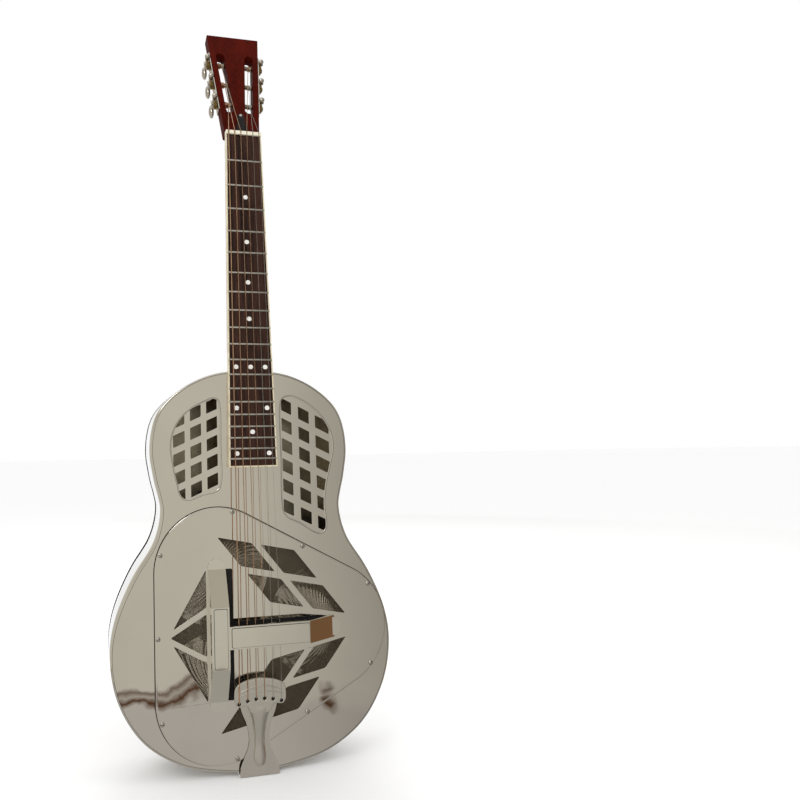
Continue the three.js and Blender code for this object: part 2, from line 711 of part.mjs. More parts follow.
function trussCoverScrew() {
  const head = -2 * GAP - 1.6;
  const profile = [[0, head - 1], [1.5, head - 0.8], [2.2, head - 0.2], [2.2, head], [1, head],
    [1, -GAP], [0, -GAP]];
  return mesh('truss_cover_screw', turned(profile, 10, 0, TRUSS_SCREW_S), steel);
}

// ---- the tuners ----
const WORM_OFFSET = 8.5;         // worm axis above the post's axis, along the head
const WORM_OUT = 4.2;            // worm axis out from the side of the head
const LUG_Y = 5.4;               // the lugs that hold the worm, each side of mid thickness

function tunerPlate() {
  const blank = box(GAP, GAP + 1.2, -6.4, 6.4, POSTS[0] - 12, POSTS[2] + 17);
  const lugs = POSTS.flatMap((s) => [-1, 1].map((way) =>
    box(GAP, 7.4, way * LUG_Y - 0.9, way * LUG_Y + 0.9, s + WORM_OFFSET - 3.6, s + WORM_OFFSET + 3.6)));
  const bores = POSTS.map((s) => alongX(2.4, -3, 3, s, 12));
  const wormBores = POSTS.map((s) => disc(WORM_OUT, s + WORM_OFFSET, 2, -9, 9, 12));
  const joined = unionOf([blank, ...lugs]).subtract(unionOf([...bores, ...wormBores]));
  return geometryOf(joined);
}

// A string post lies along x: a thick middle across the slot and a screw head past the gear.
function stringPost() {
  const profile = [
    [0, -24], [2, -24], [2, -18.6], [3.2, -18.6], [3.2, -8.6], [2, -8.6], [2, 6.1],
    [3, 6.1], [3, 7.4], [0, 7.4],
  ];
  return turned(profile, 10).rotateZ(-Math.PI / 2);
}

const GEAR_TEETH = 14;
const GEAR_RADIUS = 5.5;

function gear() {
  const outline = Array.from({ length: GEAR_TEETH * 2 }, (_, i) => {
    const angle = i / GEAR_TEETH * Math.PI;
    const r = i % 2 ? GEAR_RADIUS : GEAR_RADIUS - 1;
    return new THREE.Vector2(r * Math.cos(angle), r * Math.sin(angle));
  });
  const blank = plate(outline, 2.2, 5.7);
  return cut(blank, [disc(0, 0, 2.4, 0, 9, 10)]).rotateZ(-Math.PI / 2);
}

// A tuner key: front knob, worm between the lugs, shaft and an oval button behind the head.
function tunerKey() {
  const worm = LUG_Y - 0.9 - GAP;
  const profile = [
    [0, -11], [2.4, -10.4], [3.6, -8.6], [3.2, -6.7], [1.6, -6.6], [1.6, -worm], [2.6, -worm],
    [2.6, worm], [1.6, worm], [1.6, 17], [0, 17],
  ];
  const button = new THREE.SphereGeometry(1, 10, 7).scale(3.4, 6.2, 9.2).translate(0, 21, 0);
  return geometryOf(unionOf([turned(profile, 9), button]));
}

function tunerBank(side, label, firstNumber) {
  const bank = bankFrame(side);
  bank.add(mesh(`tuner_plate_${label}`, tunerPlate(), nickel));
  POSTS.forEach((s, k) => {
    const number = firstNumber + k * side;
    const post = mesh(`string_post_${number}`, stringPost(), steel);
    const wheel = mesh(`tuner_gear_${number}`, gear(), brass);
    const key = mesh(`tuner_key_${number}`, tunerKey(), nickel);
    post.position.z = s;
    wheel.position.z = s;
    key.position.set(WORM_OUT, 0, s + WORM_OFFSET);
    key.rotation.z = side < 0 ? Math.PI : 0;
    bank.add(post, wheel, key);
  });
  return bank;
}

// Strings 1 to 3 hang on the treble posts and 4 to 6 on the bass posts; the outer strings use
// the posts nearest the nut.
function postOf(string) {
  const side = string <= 3 ? 1 : -1;
  const row = string <= 3 ? string - 1 : 6 - string;
  return { side, s: POSTS[row] };
}

function stringWire(string) {
  const i = STRINGS - string;
  const r = STRING_RADII[i];
  const { side, s } = postOf(string);
  const [holeX, holeZ] = tailHole(i);
  const axis = new THREE.Vector3(side * (headHalf(s) - SLOT_INSET), HEAD_THICK / 2 - 3.2 - r - GAP, s)
    .applyMatrix4(headFrame.matrix);
  const at = (z) => new THREE.Vector3(stringX(i, z), stringY(z), z);
  const run = [
    new THREE.Vector3(holeX, TAIL_FRONT + 1.5, holeZ),
    new THREE.Vector3(holeX, TAIL_FRONT - r - 0.4, holeZ + 1.6),
    new THREE.Vector3(stringX(i, -385), TAIL_FRONT - r - 0.6, -385),
    at(SADDLE_Z), at(0), at(NUT_Z), at(NUT_Z + 4.7), axis,
  ];
  const material = i < 4 ? bronze : steel;
  return mesh(`string_${string}`, wire(run, r, 6), material);
}

// ---- assembly ----
function headParts() {
  const frame = headFrame.clone();
  frame.add(trussCover(), trussCoverScrew(), tunerBank(-1, 'bass', 6), tunerBank(1, 'treble', 1));
  return frame;
}

const guitar = new THREE.Group();
guitar.position.copy(HANG).negate();
guitar.add(
  topPlate(), sideRim(), backPlate(),
  grille('grille_bass', grilleBass, [[-56.6, -43.2], [-77.2, -63.7], [-98.7, -84.5]],
    -36, -150, 23.5, 14.7, 0.44),
  grille('grille_treble', grilleTreble, [[41.2, 54.3], [63.7, 77.8], [86.3, 104.3]],
    -31, -196, 25.7, 15.6, -0.5),
  soundWell(), ...CONES.map(cone), tBridge(), saddle(), coverPlate(), coverScreen(),
  ...coverScrews(), bridgeCover(), tailpiece(), tailStrap(),
  neck(), trussRod(), neckStick(), fretboard(), fretboardBinding(), nut(), headParts(),
  ...Array.from({ length: STRINGS }, (_, k) => stringWire(k + 1)),
);

const resonatorGuitar = new THREE.Group();
resonatorGuitar.add(guitar);

export default resonatorGuitar;
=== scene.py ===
"""Looks of a tricone resonator guitar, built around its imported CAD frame.

Design millimetres are used for every size: x = 0 on the centre line, y = 0 on the front of
the top plate (front is -y) and z = 0 where the neck meets the body. at() turns them into the
frame's metres, and its origin is read from the frame.
"""
import math

import bmesh
import bpy
import numpy as np
from mathutils import Matrix, Vector


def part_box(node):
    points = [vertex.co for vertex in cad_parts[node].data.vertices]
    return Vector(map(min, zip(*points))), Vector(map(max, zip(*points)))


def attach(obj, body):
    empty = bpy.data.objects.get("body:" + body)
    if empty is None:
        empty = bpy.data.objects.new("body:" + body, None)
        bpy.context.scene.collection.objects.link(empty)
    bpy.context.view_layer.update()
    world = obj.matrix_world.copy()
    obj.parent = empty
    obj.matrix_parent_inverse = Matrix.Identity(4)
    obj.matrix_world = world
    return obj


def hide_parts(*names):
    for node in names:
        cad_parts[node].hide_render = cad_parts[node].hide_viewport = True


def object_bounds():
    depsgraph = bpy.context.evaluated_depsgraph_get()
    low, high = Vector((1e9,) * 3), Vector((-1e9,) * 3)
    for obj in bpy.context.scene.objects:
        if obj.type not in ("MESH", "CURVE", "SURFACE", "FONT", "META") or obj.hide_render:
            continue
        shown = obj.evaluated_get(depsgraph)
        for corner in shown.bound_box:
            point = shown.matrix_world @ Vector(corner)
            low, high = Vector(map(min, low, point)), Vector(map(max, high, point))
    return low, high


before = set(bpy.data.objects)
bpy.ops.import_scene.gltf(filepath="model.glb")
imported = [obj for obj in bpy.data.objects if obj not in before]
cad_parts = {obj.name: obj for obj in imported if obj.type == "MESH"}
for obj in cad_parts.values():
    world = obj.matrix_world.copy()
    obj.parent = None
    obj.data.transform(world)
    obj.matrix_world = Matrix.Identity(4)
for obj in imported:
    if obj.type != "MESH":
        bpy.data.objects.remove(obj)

CAD_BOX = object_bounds()

# ---- driving dimensions, in millimetres ----
MM = 0.001
SCALE = 635.0
NUT_Z = 315.5
SADDLE_Z = NUT_Z - SCALE
SHEET = 1.5
DEPTH = 80.0
FRETS = 19
FRET_HEIGHT = 0.9
BOARD_END_Z = -118.0
BOARD_THICK = 6.0
NUT_HALF = 23.8
END_HALF = 31.0
BINDING = 1.8
GAP = 0.3
NECK_SLOPE = math.tan(math.radians(1.5))
HEAD_TILT = math.radians(15)
HEAD_LENGTH = 170.0
HEAD_THICK = 15.0
HEAD_TOP_HALF = 37.1
SLOT_INSET = 13.6
SLOT_WIDTH = 11.0
SLOT_SPAN = (36.0, 138.0)
POSTS = (53.0, 87.5, 122.0)
STRING_RADII = (0.22, 0.26, 0.36, 0.46, 0.56, 0.66)
MIDLINE_Z = -319.6
CONE_RADIUS = 70.5
COVER_RADIUS = 78.0
COVER_FRONT = -3.0
CONES = {"cone_bass_upper": (-46.4, MIDLINE_Z + 75), "cone_bass_lower": (-46.4, MIDLINE_Z - 75),
         "cone_treble": (92.7, MIDLINE_Z)}
HOOD_FRONT = -23.5
HOOD_DROP = 1.2
BAR_X = -48.4
STEM_FLAT_X = 62.7

WELD = 2e-6
FLAT_ANGLE = math.radians(1)
ROOM_RADIUS = 3.2

saddle_low, saddle_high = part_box("saddle")
ORIGIN = Vector((0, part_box("top_plate")[0].y, (saddle_low.z + saddle_high.z) / 2 - SADDLE_Z * MM))


def at(x, y, z):
    return ORIGIN + Vector((x, y, z)) * MM


def design(co):
    return (co - ORIGIN) / MM


def neck_top(z):
    return z * NECK_SLOPE


def board_top(z):
    return neck_top(z) - GAP - BOARD_THICK


def board_half(z):
    return NUT_HALF + (END_HALF - NUT_HALF) * (NUT_Z - z) / (NUT_Z - BOARD_END_Z)


def fret_z(n):
    return NUT_Z - SCALE * (1 - 2 ** (-n / 12))


def linked(name, data):
    """A new object of the scene."""
    made = bpy.data.objects.new(name, data)
    bpy.context.scene.collection.objects.link(made)
    return made


# ---- camera ----
CAMERA_PLACE = (-0.1965, -0.7867, -0.4306)
CAMERA_RIGHT = Vector((0.97934, -0.20123, -0.02025))
CAMERA_UP = Vector((0.00444, -0.07872, 0.99689))


def add_camera():
    """A close view from the front left, at the height of the body, shifted to leave room at the right."""
    data = bpy.data.cameras.new("camera")
    data.lens = 27.935
    data.sensor_width = 36
    data.shift_x = 0.2249
    data.shift_y = 0.0076
    data.clip_start = 0.01
    camera = linked("camera", data)
    back = CAMERA_RIGHT.cross(CAMERA_UP).normalized()
    turn = Matrix((CAMERA_RIGHT, back.cross(CAMERA_RIGHT), back)).transposed().to_4x4()
    camera.matrix_world = Matrix.Translation(CAMERA_PLACE) @ turn
    bpy.context.scene.camera = camera


add_camera()


# ---- materials ----
class Nodes:
    """Short ways to add nodes to one shader tree and to join them."""

    def __init__(self, tree):
        self.tree = tree
        self.place = self.node("ShaderNodeTexCoord").outputs["Object"]

    def node(self, kind, **values):
        made = self.tree.nodes.new(kind)
        for key, value in values.items():
            setattr(made, key, value)
        return made

    def feed(self, node, socket, source):
        if isinstance(source, bpy.types.NodeSocket):
            self.tree.links.new(source, node.inputs[socket])
        else:
            node.inputs[socket].default_value = source

    def stretched(self, scale, turn=(0, 0, 0)):
        mapping = self.node("ShaderNodeMapping")
        self.feed(mapping, "Vector", self.place)
        mapping.inputs["Scale"].default_value = scale
        mapping.inputs["Rotation"].default_value = turn
        return mapping.outputs["Vector"]

    def noise(self, scale, detail=3.0, vector=None, distortion=0.0):
        made = self.node("ShaderNodeTexNoise")
        self.feed(made, "Vector", self.place if vector is None else vector)
        self.feed(made, "Scale", scale)
        self.feed(made, "Detail", detail)
        self.feed(made, "Distortion", distortion)
        return made.outputs["Fac"]

    def ramp(self, source, *stops):
        made = self.node("ShaderNodeValToRGB")
        self.feed(made, "Fac", source)
        elements = made.color_ramp.elements
        while len(elements) < len(stops):
            elements.new(0.5)
        for element, (place, color) in zip(elements, stops):
            element.position = place
            value = (color,) * 3 if isinstance(color, (int, float)) else color
            element.color = (*value, 1)
        return made.outputs["Color"]

    def calculate(self, operation, *sources):
        made = self.node("ShaderNodeMath", operation=operation)
        for socket, source in enumerate(sources):
            self.feed(made, socket, source)
        return made.outputs[0]

    def mix(self, factor, first, second):
        made = self.node("ShaderNodeMix", data_type="RGBA")
        for socket, source in (("Factor", factor), ("A", first), ("B", second)):
            self.feed(made, socket, source)
        return made.outputs["Result"]

    def range(self, source, low, high, start=0.3, end=0.7, curve="LINEAR"):
        made = self.node("ShaderNodeMapRange", interpolation_type=curve)
        self.feed(made, "Value", source)
        for socket, value in (("From Min", start), ("From Max", end), ("To Min", low), ("To Max", high)):
            made.inputs[socket].default_value = value
        return made.outputs["Result"]


class Paint(Nodes):
    """A material under construction: one Principled shader and what feeds it."""

    def __init__(self, name, color, roughness, metallic=0.0, **sockets):
        self.material = bpy.data.materials.new(name)
        self.material.use_nodes = True
        super().__init__(self.material.node_tree)
        self.shader = self.tree.nodes["Principled BSDF"]
        self.set("Base Color", (*color, 1))
        self.set("Roughness", roughness)
        self.set("Metallic", metallic)
        for socket, value in sockets.items():
            self.set(socket.replace("_", " "), value)

    def set(self, socket, value):
        self.shader.inputs[socket].default_value = value

    def link(self, socket, source):
        self.tree.links.new(source, self.shader.inputs[socket])

    def bump(self, height, strength, distance=0.0005, under=None):
        made = self.node("ShaderNodeBump")
        made.inputs["Strength"].default_value = strength
        made.inputs["Distance"].default_value = distance
        self.feed(made, "Height", height)
        if under is not None:
            self.feed(made, "Normal", under)
        self.link("Normal", made.outputs["Normal"])
        return made.outputs["Normal"]


def nickel(name, color=(0.84, 0.81, 0.76), rough=(0.005, 0.018), ripple=0.05, scratch=0.03):
    """Nickel plate: a soft mirror with faint ripples, polishing marks and a little haze."""
    paint = Paint(name, color, rough[0], 1.0)
    haze = paint.noise(14, 4)
    paint.link("Base Color", paint.ramp(haze, (0.3, [c * 0.94 for c in color]), (0.7, color)))
    smear = paint.noise(60, 5, paint.stretched((1, 1, 0.25)))
    paint.link("Roughness", paint.range(smear, *rough))
    under = paint.bump(paint.noise(7, 1), ripple, 0.0012)
    paint.bump(paint.noise(900, 2, paint.stretched((1, 1, 0.04))), scratch, 0.00004, under)
    return paint.material


def spun_metal(name, color, rough=(0.22, 0.42), grain=0.25):
    """Bare metal with fine drawn lines and uneven dullness."""
    paint = Paint(name, color, rough[0], 1.0)
    stain = paint.noise(30, 4)
    paint.link("Base Color", paint.ramp(stain, (0.25, [c * 0.82 for c in color]), (0.7, color)))
    paint.link("Roughness", paint.range(paint.noise(80, 4), *rough))
    paint.bump(paint.noise(1500, 3), grain, 0.00006)
    return paint.material


def wood(name, dark, light, grain=(40, 40, 3), rough=0.3, coat=0.0, pores=0.1, gloss=0.18):
    """Wood with its grain along z: broad bands, fine fibres and pores under the finish."""
    paint = Paint(name, light, rough, 0.0, Coat_Weight=coat, Coat_Roughness=0.06, Specular_IOR_Level=gloss)
    bands = paint.noise(1, 4, paint.stretched(grain), 0.8)
    fibres = paint.noise(14, 5, paint.stretched(grain))
    figure = paint.calculate("MULTIPLY_ADD", fibres, 0.45, paint.calculate("MULTIPLY", bands, 0.55))
    middle = [(a + b) / 2 for a, b in zip(dark, light)]
    paint.link("Base Color", paint.ramp(figure, (0.36, dark), (0.5, middle), (0.64, light)))
    paint.link("Roughness", paint.range(fibres, rough * 0.8, rough * 1.25))
    paint.bump(fibres, pores, 0.0002)
    return paint.material


def soft_plastic(name, light, dark, rough, grain=0.08, **sockets):
    paint = Paint(name, light, rough, 0.0, **sockets)
    cloud = paint.noise(90, 4)
    paint.link("Base Color", paint.ramp(cloud, (0.35, dark), (0.65, light)))
    paint.link("Roughness", paint.range(paint.noise(200, 3), rough * 0.8, rough * 1.3))
    paint.bump(paint.noise(1200, 2), grain, 0.00005)
    return paint.material


def wound_wire(name, color, ripple):
    """Wire wrapped on a core: fine ridges across the string."""
    paint = Paint(name, color, 0.3, 1.0)
    wave = paint.node("ShaderNodeTexWave", bands_direction="Z")
    paint.feed(wave, "Vector", paint.place)
    paint.feed(wave, "Scale", 900.0)
    tarnish = paint.noise(45, 3)
    paint.link("Base Color", paint.ramp(tarnish, (0.3, [c * 0.7 for c in color]), (0.7, color)))
    paint.link("Roughness", paint.range(tarnish, 0.22, 0.36))
    paint.bump(wave.outputs["Fac"], ripple, 0.0001)
    return paint.material


def pearl_paint():
    paint = Paint("pearl", (0.78, 0.77, 0.72), 0.12, 0.0, Coat_Weight=0.6, Coat_Roughness=0.03)
    swirl = paint.noise(260, 3, None, 2.5)
    paint.link("Base Color", paint.ramp(swirl, (0.3, (0.52, 0.55, 0.52)), (0.5, (0.82, 0.8, 0.74)),
                                        (0.7, (0.9, 0.84, 0.82))))
    paint.link("Roughness", paint.range(swirl, 0.1, 0.22))
    return paint.material


BODY_NICKEL = nickel("nickel_body")
BACK_NICKEL = nickel("nickel_back", ripple=0.12)
COVER_NICKEL = nickel("nickel_cover", ripple=0.03)
HOOD_NICKEL = nickel("nickel_hood", color=(0.86, 0.84, 0.78), rough=(0.02, 0.06), ripple=0.04)
CAST_NICKEL = nickel("nickel_cast", color=(0.8, 0.78, 0.73), rough=(0.16, 0.3), ripple=0.1, scratch=0.1)
TUNER_NICKEL = nickel("nickel_tuner", color=(0.72, 0.68, 0.62), rough=(0.12, 0.24), scratch=0.1)
POST_STEEL = spun_metal("post_steel", (0.5, 0.43, 0.36), (0.2, 0.36))
CONE_ALUMINIUM = spun_metal("cone_aluminium", (0.9, 0.86, 0.78), (0.14, 0.26), 0.1)
CAST_ALUMINIUM = spun_metal("cast_aluminium", (0.6, 0.6, 0.58), (0.35, 0.5), 0.5)
SCREEN_WIRE = spun_metal("screen_wire", (0.46, 0.39, 0.31), (0.35, 0.5))
# Its dark colour is painted shade, standing in for the dark inside of the body.
WELL_METAL = spun_metal("well_metal", (0.2, 0.18, 0.15), (0.45, 0.6))
LINER_METAL = spun_metal("liner_metal", (0.66, 0.6, 0.48), (0.25, 0.45), 0.4)
GEAR_BRASS = spun_metal("gear_brass", (0.42, 0.31, 0.12), (0.3, 0.5), 0.4)
FRET_METAL = spun_metal("fret_metal", (0.75, 0.73, 0.68), (0.16, 0.28), 0.1)
SCREW_STEEL = spun_metal("screw_steel", (0.72, 0.7, 0.66), (0.15, 0.28), 0.1)
HEAD_WOOD = wood("head_lacquer", (0.034, 0.0016, 0.0004), (0.085, 0.005, 0.0008), rough=0.42, gloss=0.03)
NECK_WOOD = wood("neck_mahogany", (0.13, 0.02, 0.004), (0.36, 0.07, 0.012), rough=0.3, coat=0.5)
BOARD_WOOD = wood("rosewood", (0.006, 0.002, 0.0015), (0.062, 0.022, 0.012), (90, 90, 4), 0.5, 0.0, 0.35)
MAPLE = wood("maple", (0.45, 0.27, 0.12), (0.66, 0.45, 0.24), rough=0.45)
CREAM = soft_plastic("cream_binding", (0.72, 0.64, 0.45), (0.6, 0.5, 0.32), 0.32, Coat_Weight=0.4)
BONE = soft_plastic("bone", (0.8, 0.76, 0.62), (0.7, 0.64, 0.48), 0.35)
BLACK = soft_plastic("black_plastic", (0.012, 0.009, 0.008), (0.006, 0.005, 0.005), 0.22,
                     Specular_IOR_Level=0.2)
SHADOW = soft_plastic("slot_shadow", (0.01, 0.008, 0.007), (0.004, 0.004, 0.004), 0.7)
BRONZE = wound_wire("bronze_wire", (0.86, 0.56, 0.38), 0.5)
PLAIN_WIRE = wound_wire("steel_wire", (0.78, 0.76, 0.72), 0.05)
PEARL = pearl_paint()


# ---- mesh helpers ----
def add_piece(name, mesh, material, body="root", replaces=()):
    made = linked(name, mesh)
    mesh.materials.clear()
    mesh.materials.append(material)
    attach(made, body)
    if replaces:
        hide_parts(*replaces)


def finished(bm, smooth=32, weld=1e-7):
    """The bmesh as a mesh: corners welded, faces outwards, smooth up to an angle."""
    bmesh.ops.remove_doubles(bm, verts=bm.verts, dist=weld)
    bmesh.ops.recalc_face_normals(bm, faces=bm.faces)
    mesh = bpy.data.meshes.new("mesh")
    bm.to_mesh(mesh)
    bm.free()
    mesh.shade_smooth()
    mesh.set_sharp_from_angle(angle=math.radians(smooth))
    return mesh


def baked(*carriers):
    """The first carrier's shape as a mesh, after which the carriers are gone."""
    evaluated = carriers[0].evaluated_get(bpy.context.evaluated_depsgraph_get())
    made = bpy.data.meshes.new_from_object(evaluated)
    for carrier in carriers:
        bpy.data.objects.remove(carrier)
    return made


def steady(mesh):
    """Keeps flat faces flat to the eye, by weighting the normals towards the larger faces."""
    carrier = linked("carrier", mesh)
    modifier = carrier.modifiers.new("weights", "WEIGHTED_NORMAL")
    modifier.keep_sharp = True
    modifier.weight = 100
    return baked(carrier)


def from_lists(points, faces, smooth=32):
    """A mesh from points in metres and faces that name them by number."""
    bm = bmesh.new()
    verts = [bm.verts.new(p) for p in points]
    for face in faces:
        bm.faces.new([verts[i] for i in face])
    return finished(bm, smooth)


def loft(rings, cap_first=True, cap_last=True, smooth=32, closed=True):
    """A skin through rings of equal length."""
    count = len(rings[0])
    last = count if closed else count - 1
    points = [p for ring in rings for p in ring]
    faces = []
    for r in range(len(rings) - 1):
        for i in range(last):
            j = (i + 1) % count
            faces.append((r * count + i, r * count + j, (r + 1) * count + j, (r + 1) * count + i))
    if cap_first:
        faces.append(tuple(range(count)))
    if cap_last:
        faces.append(tuple(range((len(rings) - 1) * count, len(rings) * count)))
    return from_lists(points, faces, smooth)


def angles(count):
    """Angles spread evenly round a circle."""
    return [k / count * math.tau for k in range(count)]


def turned(profile, steps, matrix, smooth=32):
    """A lathe shape about the local y axis from (radius, y) points, placed by a matrix."""
    rings = [[place(matrix, (r * math.cos(a), y, r * math.sin(a))) for a in angles(steps)]
             for r, y in profile]
    return loft(rings, smooth=smooth)


def place(matrix, point):
    return at(*(matrix @ Vector(point)))


def here(x=0.0, y=0.0, z=0.0):
    return Matrix.Translation((x, y, z))


def joined(meshes):
    """Several meshes as one."""
    bm = bmesh.new()
    for mesh in meshes:
        bm.from_mesh(mesh)
    made = bpy.data.meshes.new("joined")
    bm.to_mesh(made)
    bm.free()
    return made


def front_loops(node):
    """Closed outlines (x, z) of a node's frontmost flat face, longest first, counter-clockwise."""
    bm = bmesh.new()
    bm.from_mesh(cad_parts[node].data)
    bmesh.ops.remove_doubles(bm, verts=bm.verts, dist=WELD)
    front = min(v.co.y for v in bm.verts)
    flat = {f for f in bm.faces if all(v.co.y - front < 2e-5 for v in f.verts)}
    near = {}
    for edge in bm.edges:
        if sum(f in flat for f in edge.link_faces) == 1:
            a, b = edge.verts
            near.setdefault(a, []).append(b)
            near.setdefault(b, []).append(a)
    loops = []
    while near:
        start = next(iter(near))
        loop, before, vert = [], None, start
        while vert in near:
            loop.append(vert)
            ahead = [v for v in near.pop(vert) if v is not before and v in near]
            before = vert
            vert = ahead[0] if ahead else None
        points = [design(v.co) for v in loop]
        loops.append(wound(np.array([(p.x, p.z) for p in points])))
    bm.free()
    return sorted(loops, key=lambda loop: -abs(area(loop)))


def area(loop):
    x, z = np.asarray(loop).T
    return float(np.sum(x * np.roll(z, -1) - np.roll(x, -1) * z) / 2)


def wound(loop):
    return loop if area(loop) > 0 else loop[::-1]


def smooth_loop(loop, steps=4):
    """More points on a closed outline, on a curve through the ones it has."""
    a, b, c, d = (np.roll(loop, k, axis=0) for k in (1, 0, -1, -2))
    out = []
    for t in np.arange(steps) / steps:
        out.append(0.5 * (2 * b + (c - a) * t + (2 * a - 5 * b + 4 * c - d) * t ** 2
                          + (3 * b - 3 * c + d - a) * t ** 3))
    return np.stack(out, axis=1).reshape(-1, 2)


def offset_loop(loop, distance):
    """The outline moved outwards by a distance."""
    along = np.roll(loop, -1, axis=0) - np.roll(loop, 1, axis=0)
    along /= np.linalg.norm(along, axis=1)[:, None]
    return loop + distance * np.stack([along[:, 1], -along[:, 0]], axis=1)


def rounded(loop, radius, steps=5):
    """The outline with each corner replaced by a small arc."""
    out = []
    for before, corner, after in zip(np.roll(loop, 1, axis=0), loop, np.roll(loop, -1, axis=0)):
        a, b = before - corner, after - corner
        reach = min(radius, 0.45 * np.linalg.norm(a), 0.45 * np.linalg.norm(b))
        a, b = corner + a / np.linalg.norm(a) * reach, corner + b / np.linalg.norm(b) * reach
        for t in np.linspace(0, 1, steps):
            out.append((1 - t) ** 2 * a + 2 * t * (1 - t) * corner + t ** 2 * b)
    return np.array(out)


def ring_at(loop, y):
    return [at(x, y, z) for x, z in loop]


def sheet(loops, front, back, bevel, matrix=None):
    """A flat sheet with holes and rounded edges, between two depths."""
    curve = bpy.data.curves.new("outline", "CURVE")
    curve.dimensions = "2D"
    curve.fill_mode = "BOTH"
    curve.extrude = (back - front) / 2 - bevel
    curve.bevel_depth = bevel
    curve.bevel_resolution = 2
    curve.offset = -bevel
    for loop in loops:
        spline = curve.splines.new("POLY")
        spline.points.add(len(loop) - 1)
        for point, (x, z) in zip(spline.points, loop):
            point.co = (x, z, 0, 1)
        spline.use_cyclic_u = True
    carrier = linked("carrier", curve)
    flat = baked(carrier)
    stand = Matrix(((1, 0, 0, 0), (0, 0, -1, (front + back) / 2), (0, 1, 0, 0), (0, 0, 0, 1)))
    flat.transform(Matrix.Translation(ORIGIN) @ Matrix.Scale(MM, 4) @ (matrix or Matrix()) @ stand)
    bm = bmesh.new()
    bm.from_mesh(flat)
    return steady(finished(bm, 40, WELD))


def edge_roll(loop, profile):
    """A skin that follows a closed outline: profile lists (outwards, y)."""
    return loft([ring_at(offset_loop(loop, d), y) for d, y in profile], False, False, 60)


def refined(node, material, bevel=0.3, segments=2):
    """Keeps a CAD node, with its edges eased and its own material."""
    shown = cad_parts[node]
    shown.data.materials.clear()
    shown.data.materials.append(material)
    shown.data.shade_smooth()
    weld = shown.modifiers.new("weld", "WELD")
    weld.merge_threshold = WELD
    flatten = shown.modifiers.new("flatten", "DECIMATE")
    flatten.decimate_type = "DISSOLVE"
    flatten.angle_limit = FLAT_ANGLE
    ease = shown.modifiers.new("ease", "BEVEL")
    ease.width = bevel * MM
    ease.segments = segments
    ease.limit_method = "ANGLE"
    ease.angle_limit = math.radians(30)
    ease.use_clamp_overlap = True
    weights = shown.modifiers.new("weights", "WEIGHTED_NORMAL")
    weights.weight = 100


# ---- the body ----
TOP_LOOPS = front_loops("top_plate")
OUTLINE = smooth_loop(TOP_LOOPS[0], 4)
WELL = TOP_LOOPS[1]
EDGE_ROLL = 2.2
GRILLE_EDGES = [smooth_loop(loop, 4) for loop in TOP_LOOPS[2:4]]


def shade_line(loop, distance, width):
    """Painted shade: a fine dark line where a rolled edge of the top begins, standing in for the shadow in
    that crease.
    """
    return sheet([offset_loop(loop, distance), offset_loop(loop, distance - width)], -0.04, 0.4, 0.01)


def body_top():
    """The top sheet, with a turned-in lip at each grille."""
    holes = [offset_loop(loop, 1.3) for loop in GRILLE_EDGES]
    plate = sheet([offset_loop(OUTLINE, -EDGE_ROLL), WELL, *holes], 0, SHEET, 0.02)
    steps = np.linspace(0, math.pi / 2, 9)
    quarter = [(-EDGE_ROLL * (1 - math.sin(a)), EDGE_ROLL * (1 - math.cos(a))) for a in steps]
    roll = edge_roll(OUTLINE, quarter)
    lip = [(1.3, 0), (0.9, -0.03), (0.5, 0.08), (0.2, 0.3), (0.03, 0.65), (0, 1.1), (0, 2.2)]
    lips = [edge_roll(loop, lip) for loop in GRILLE_EDGES]
    add_piece("top_sheet", joined([plate, roll, *lips]), BODY_NICKEL, replaces=["top_plate"])
    # Dark rings of painted shade in the creases at the top's rolled edge and round each grille.
    shade_lines = [shade_line(OUTLINE, -EDGE_ROLL - 0.25, 0.4), *[shade_line(loop, 1.8, 0.4) for loop in GRILLE_EDGES]]
    add_piece("top_shade_lines", joined(shade_lines), SHADOW)


def body_side():
    seam, inside = EDGE_ROLL + 0.15, -0.12
    wall = [(inside, y) for y in (seam + 0.2, DEPTH / 4, DEPTH / 2, DEPTH * 3 / 4, DEPTH - seam - 0.2)]
    profile = [(-1, seam), (-0.3, seam), *wall, (-0.3, DEPTH - seam), (-1, DEPTH - seam)]
    add_piece("side_band", edge_roll(OUTLINE, profile), BODY_NICKEL, replaces=["side_rim"])


def body_back():
    """The pressed back: a flat rim, a soft shoulder and a raised panel."""
    rim = 24.0
    flat_rim = [(-EDGE_ROLL * (1 - math.cos(a)), DEPTH - EDGE_ROLL * (1 - math.sin(a)))
                for a in np.linspace(0, math.pi / 2, 9)]
    flat_rim += [(-8, DEPTH), (-rim + 3, DEPTH)]
    press = [(-rim, DEPTH + 0.05)]
    for d, rise in ((1, 0.2), (2, 0.6), (3, 1.15), (4, 1.7), (5, 2.15), (6.5, 2.6), (8.5, 2.95), (11, 3.2),
                    (14, 3.38), (18, 3.5)):
        press.append((-rim - d, DEPTH + rise))
    rings = [ring_at(offset_loop(OUTLINE, d), y) for d, y in flat_rim + press]
    add_piece("back_sheet", steady(loft(rings, False, True, 50)), BACK_NICKEL,
              replaces=["back_plate"])


def inner_liner():
    """The dull inside of the sheet metal, seen through the grilles."""
    wall = offset_loop(OUTLINE, -SHEET)
    rings = [ring_at(wall, y) for y in (3.2, DEPTH / 2, DEPTH - SHEET - 1)]
    add_piece("inner_liner", loft(rings, False, True, 40), LINER_METAL)


def grilles():
    for node in ("grille_bass", "grille_treble"):
        loops = front_loops(node)
        holes = [rounded(loop, 0.7, 3) for loop in loops[1:] if abs(area(loop)) > 1]
        lattice = sheet([smooth_loop(loops[0], 3), *holes], SHEET + GAP, SHEET + GAP + 1, 0.3)
        add_piece(f"{node}_lattice", lattice, COVER_NICKEL, replaces=[node])


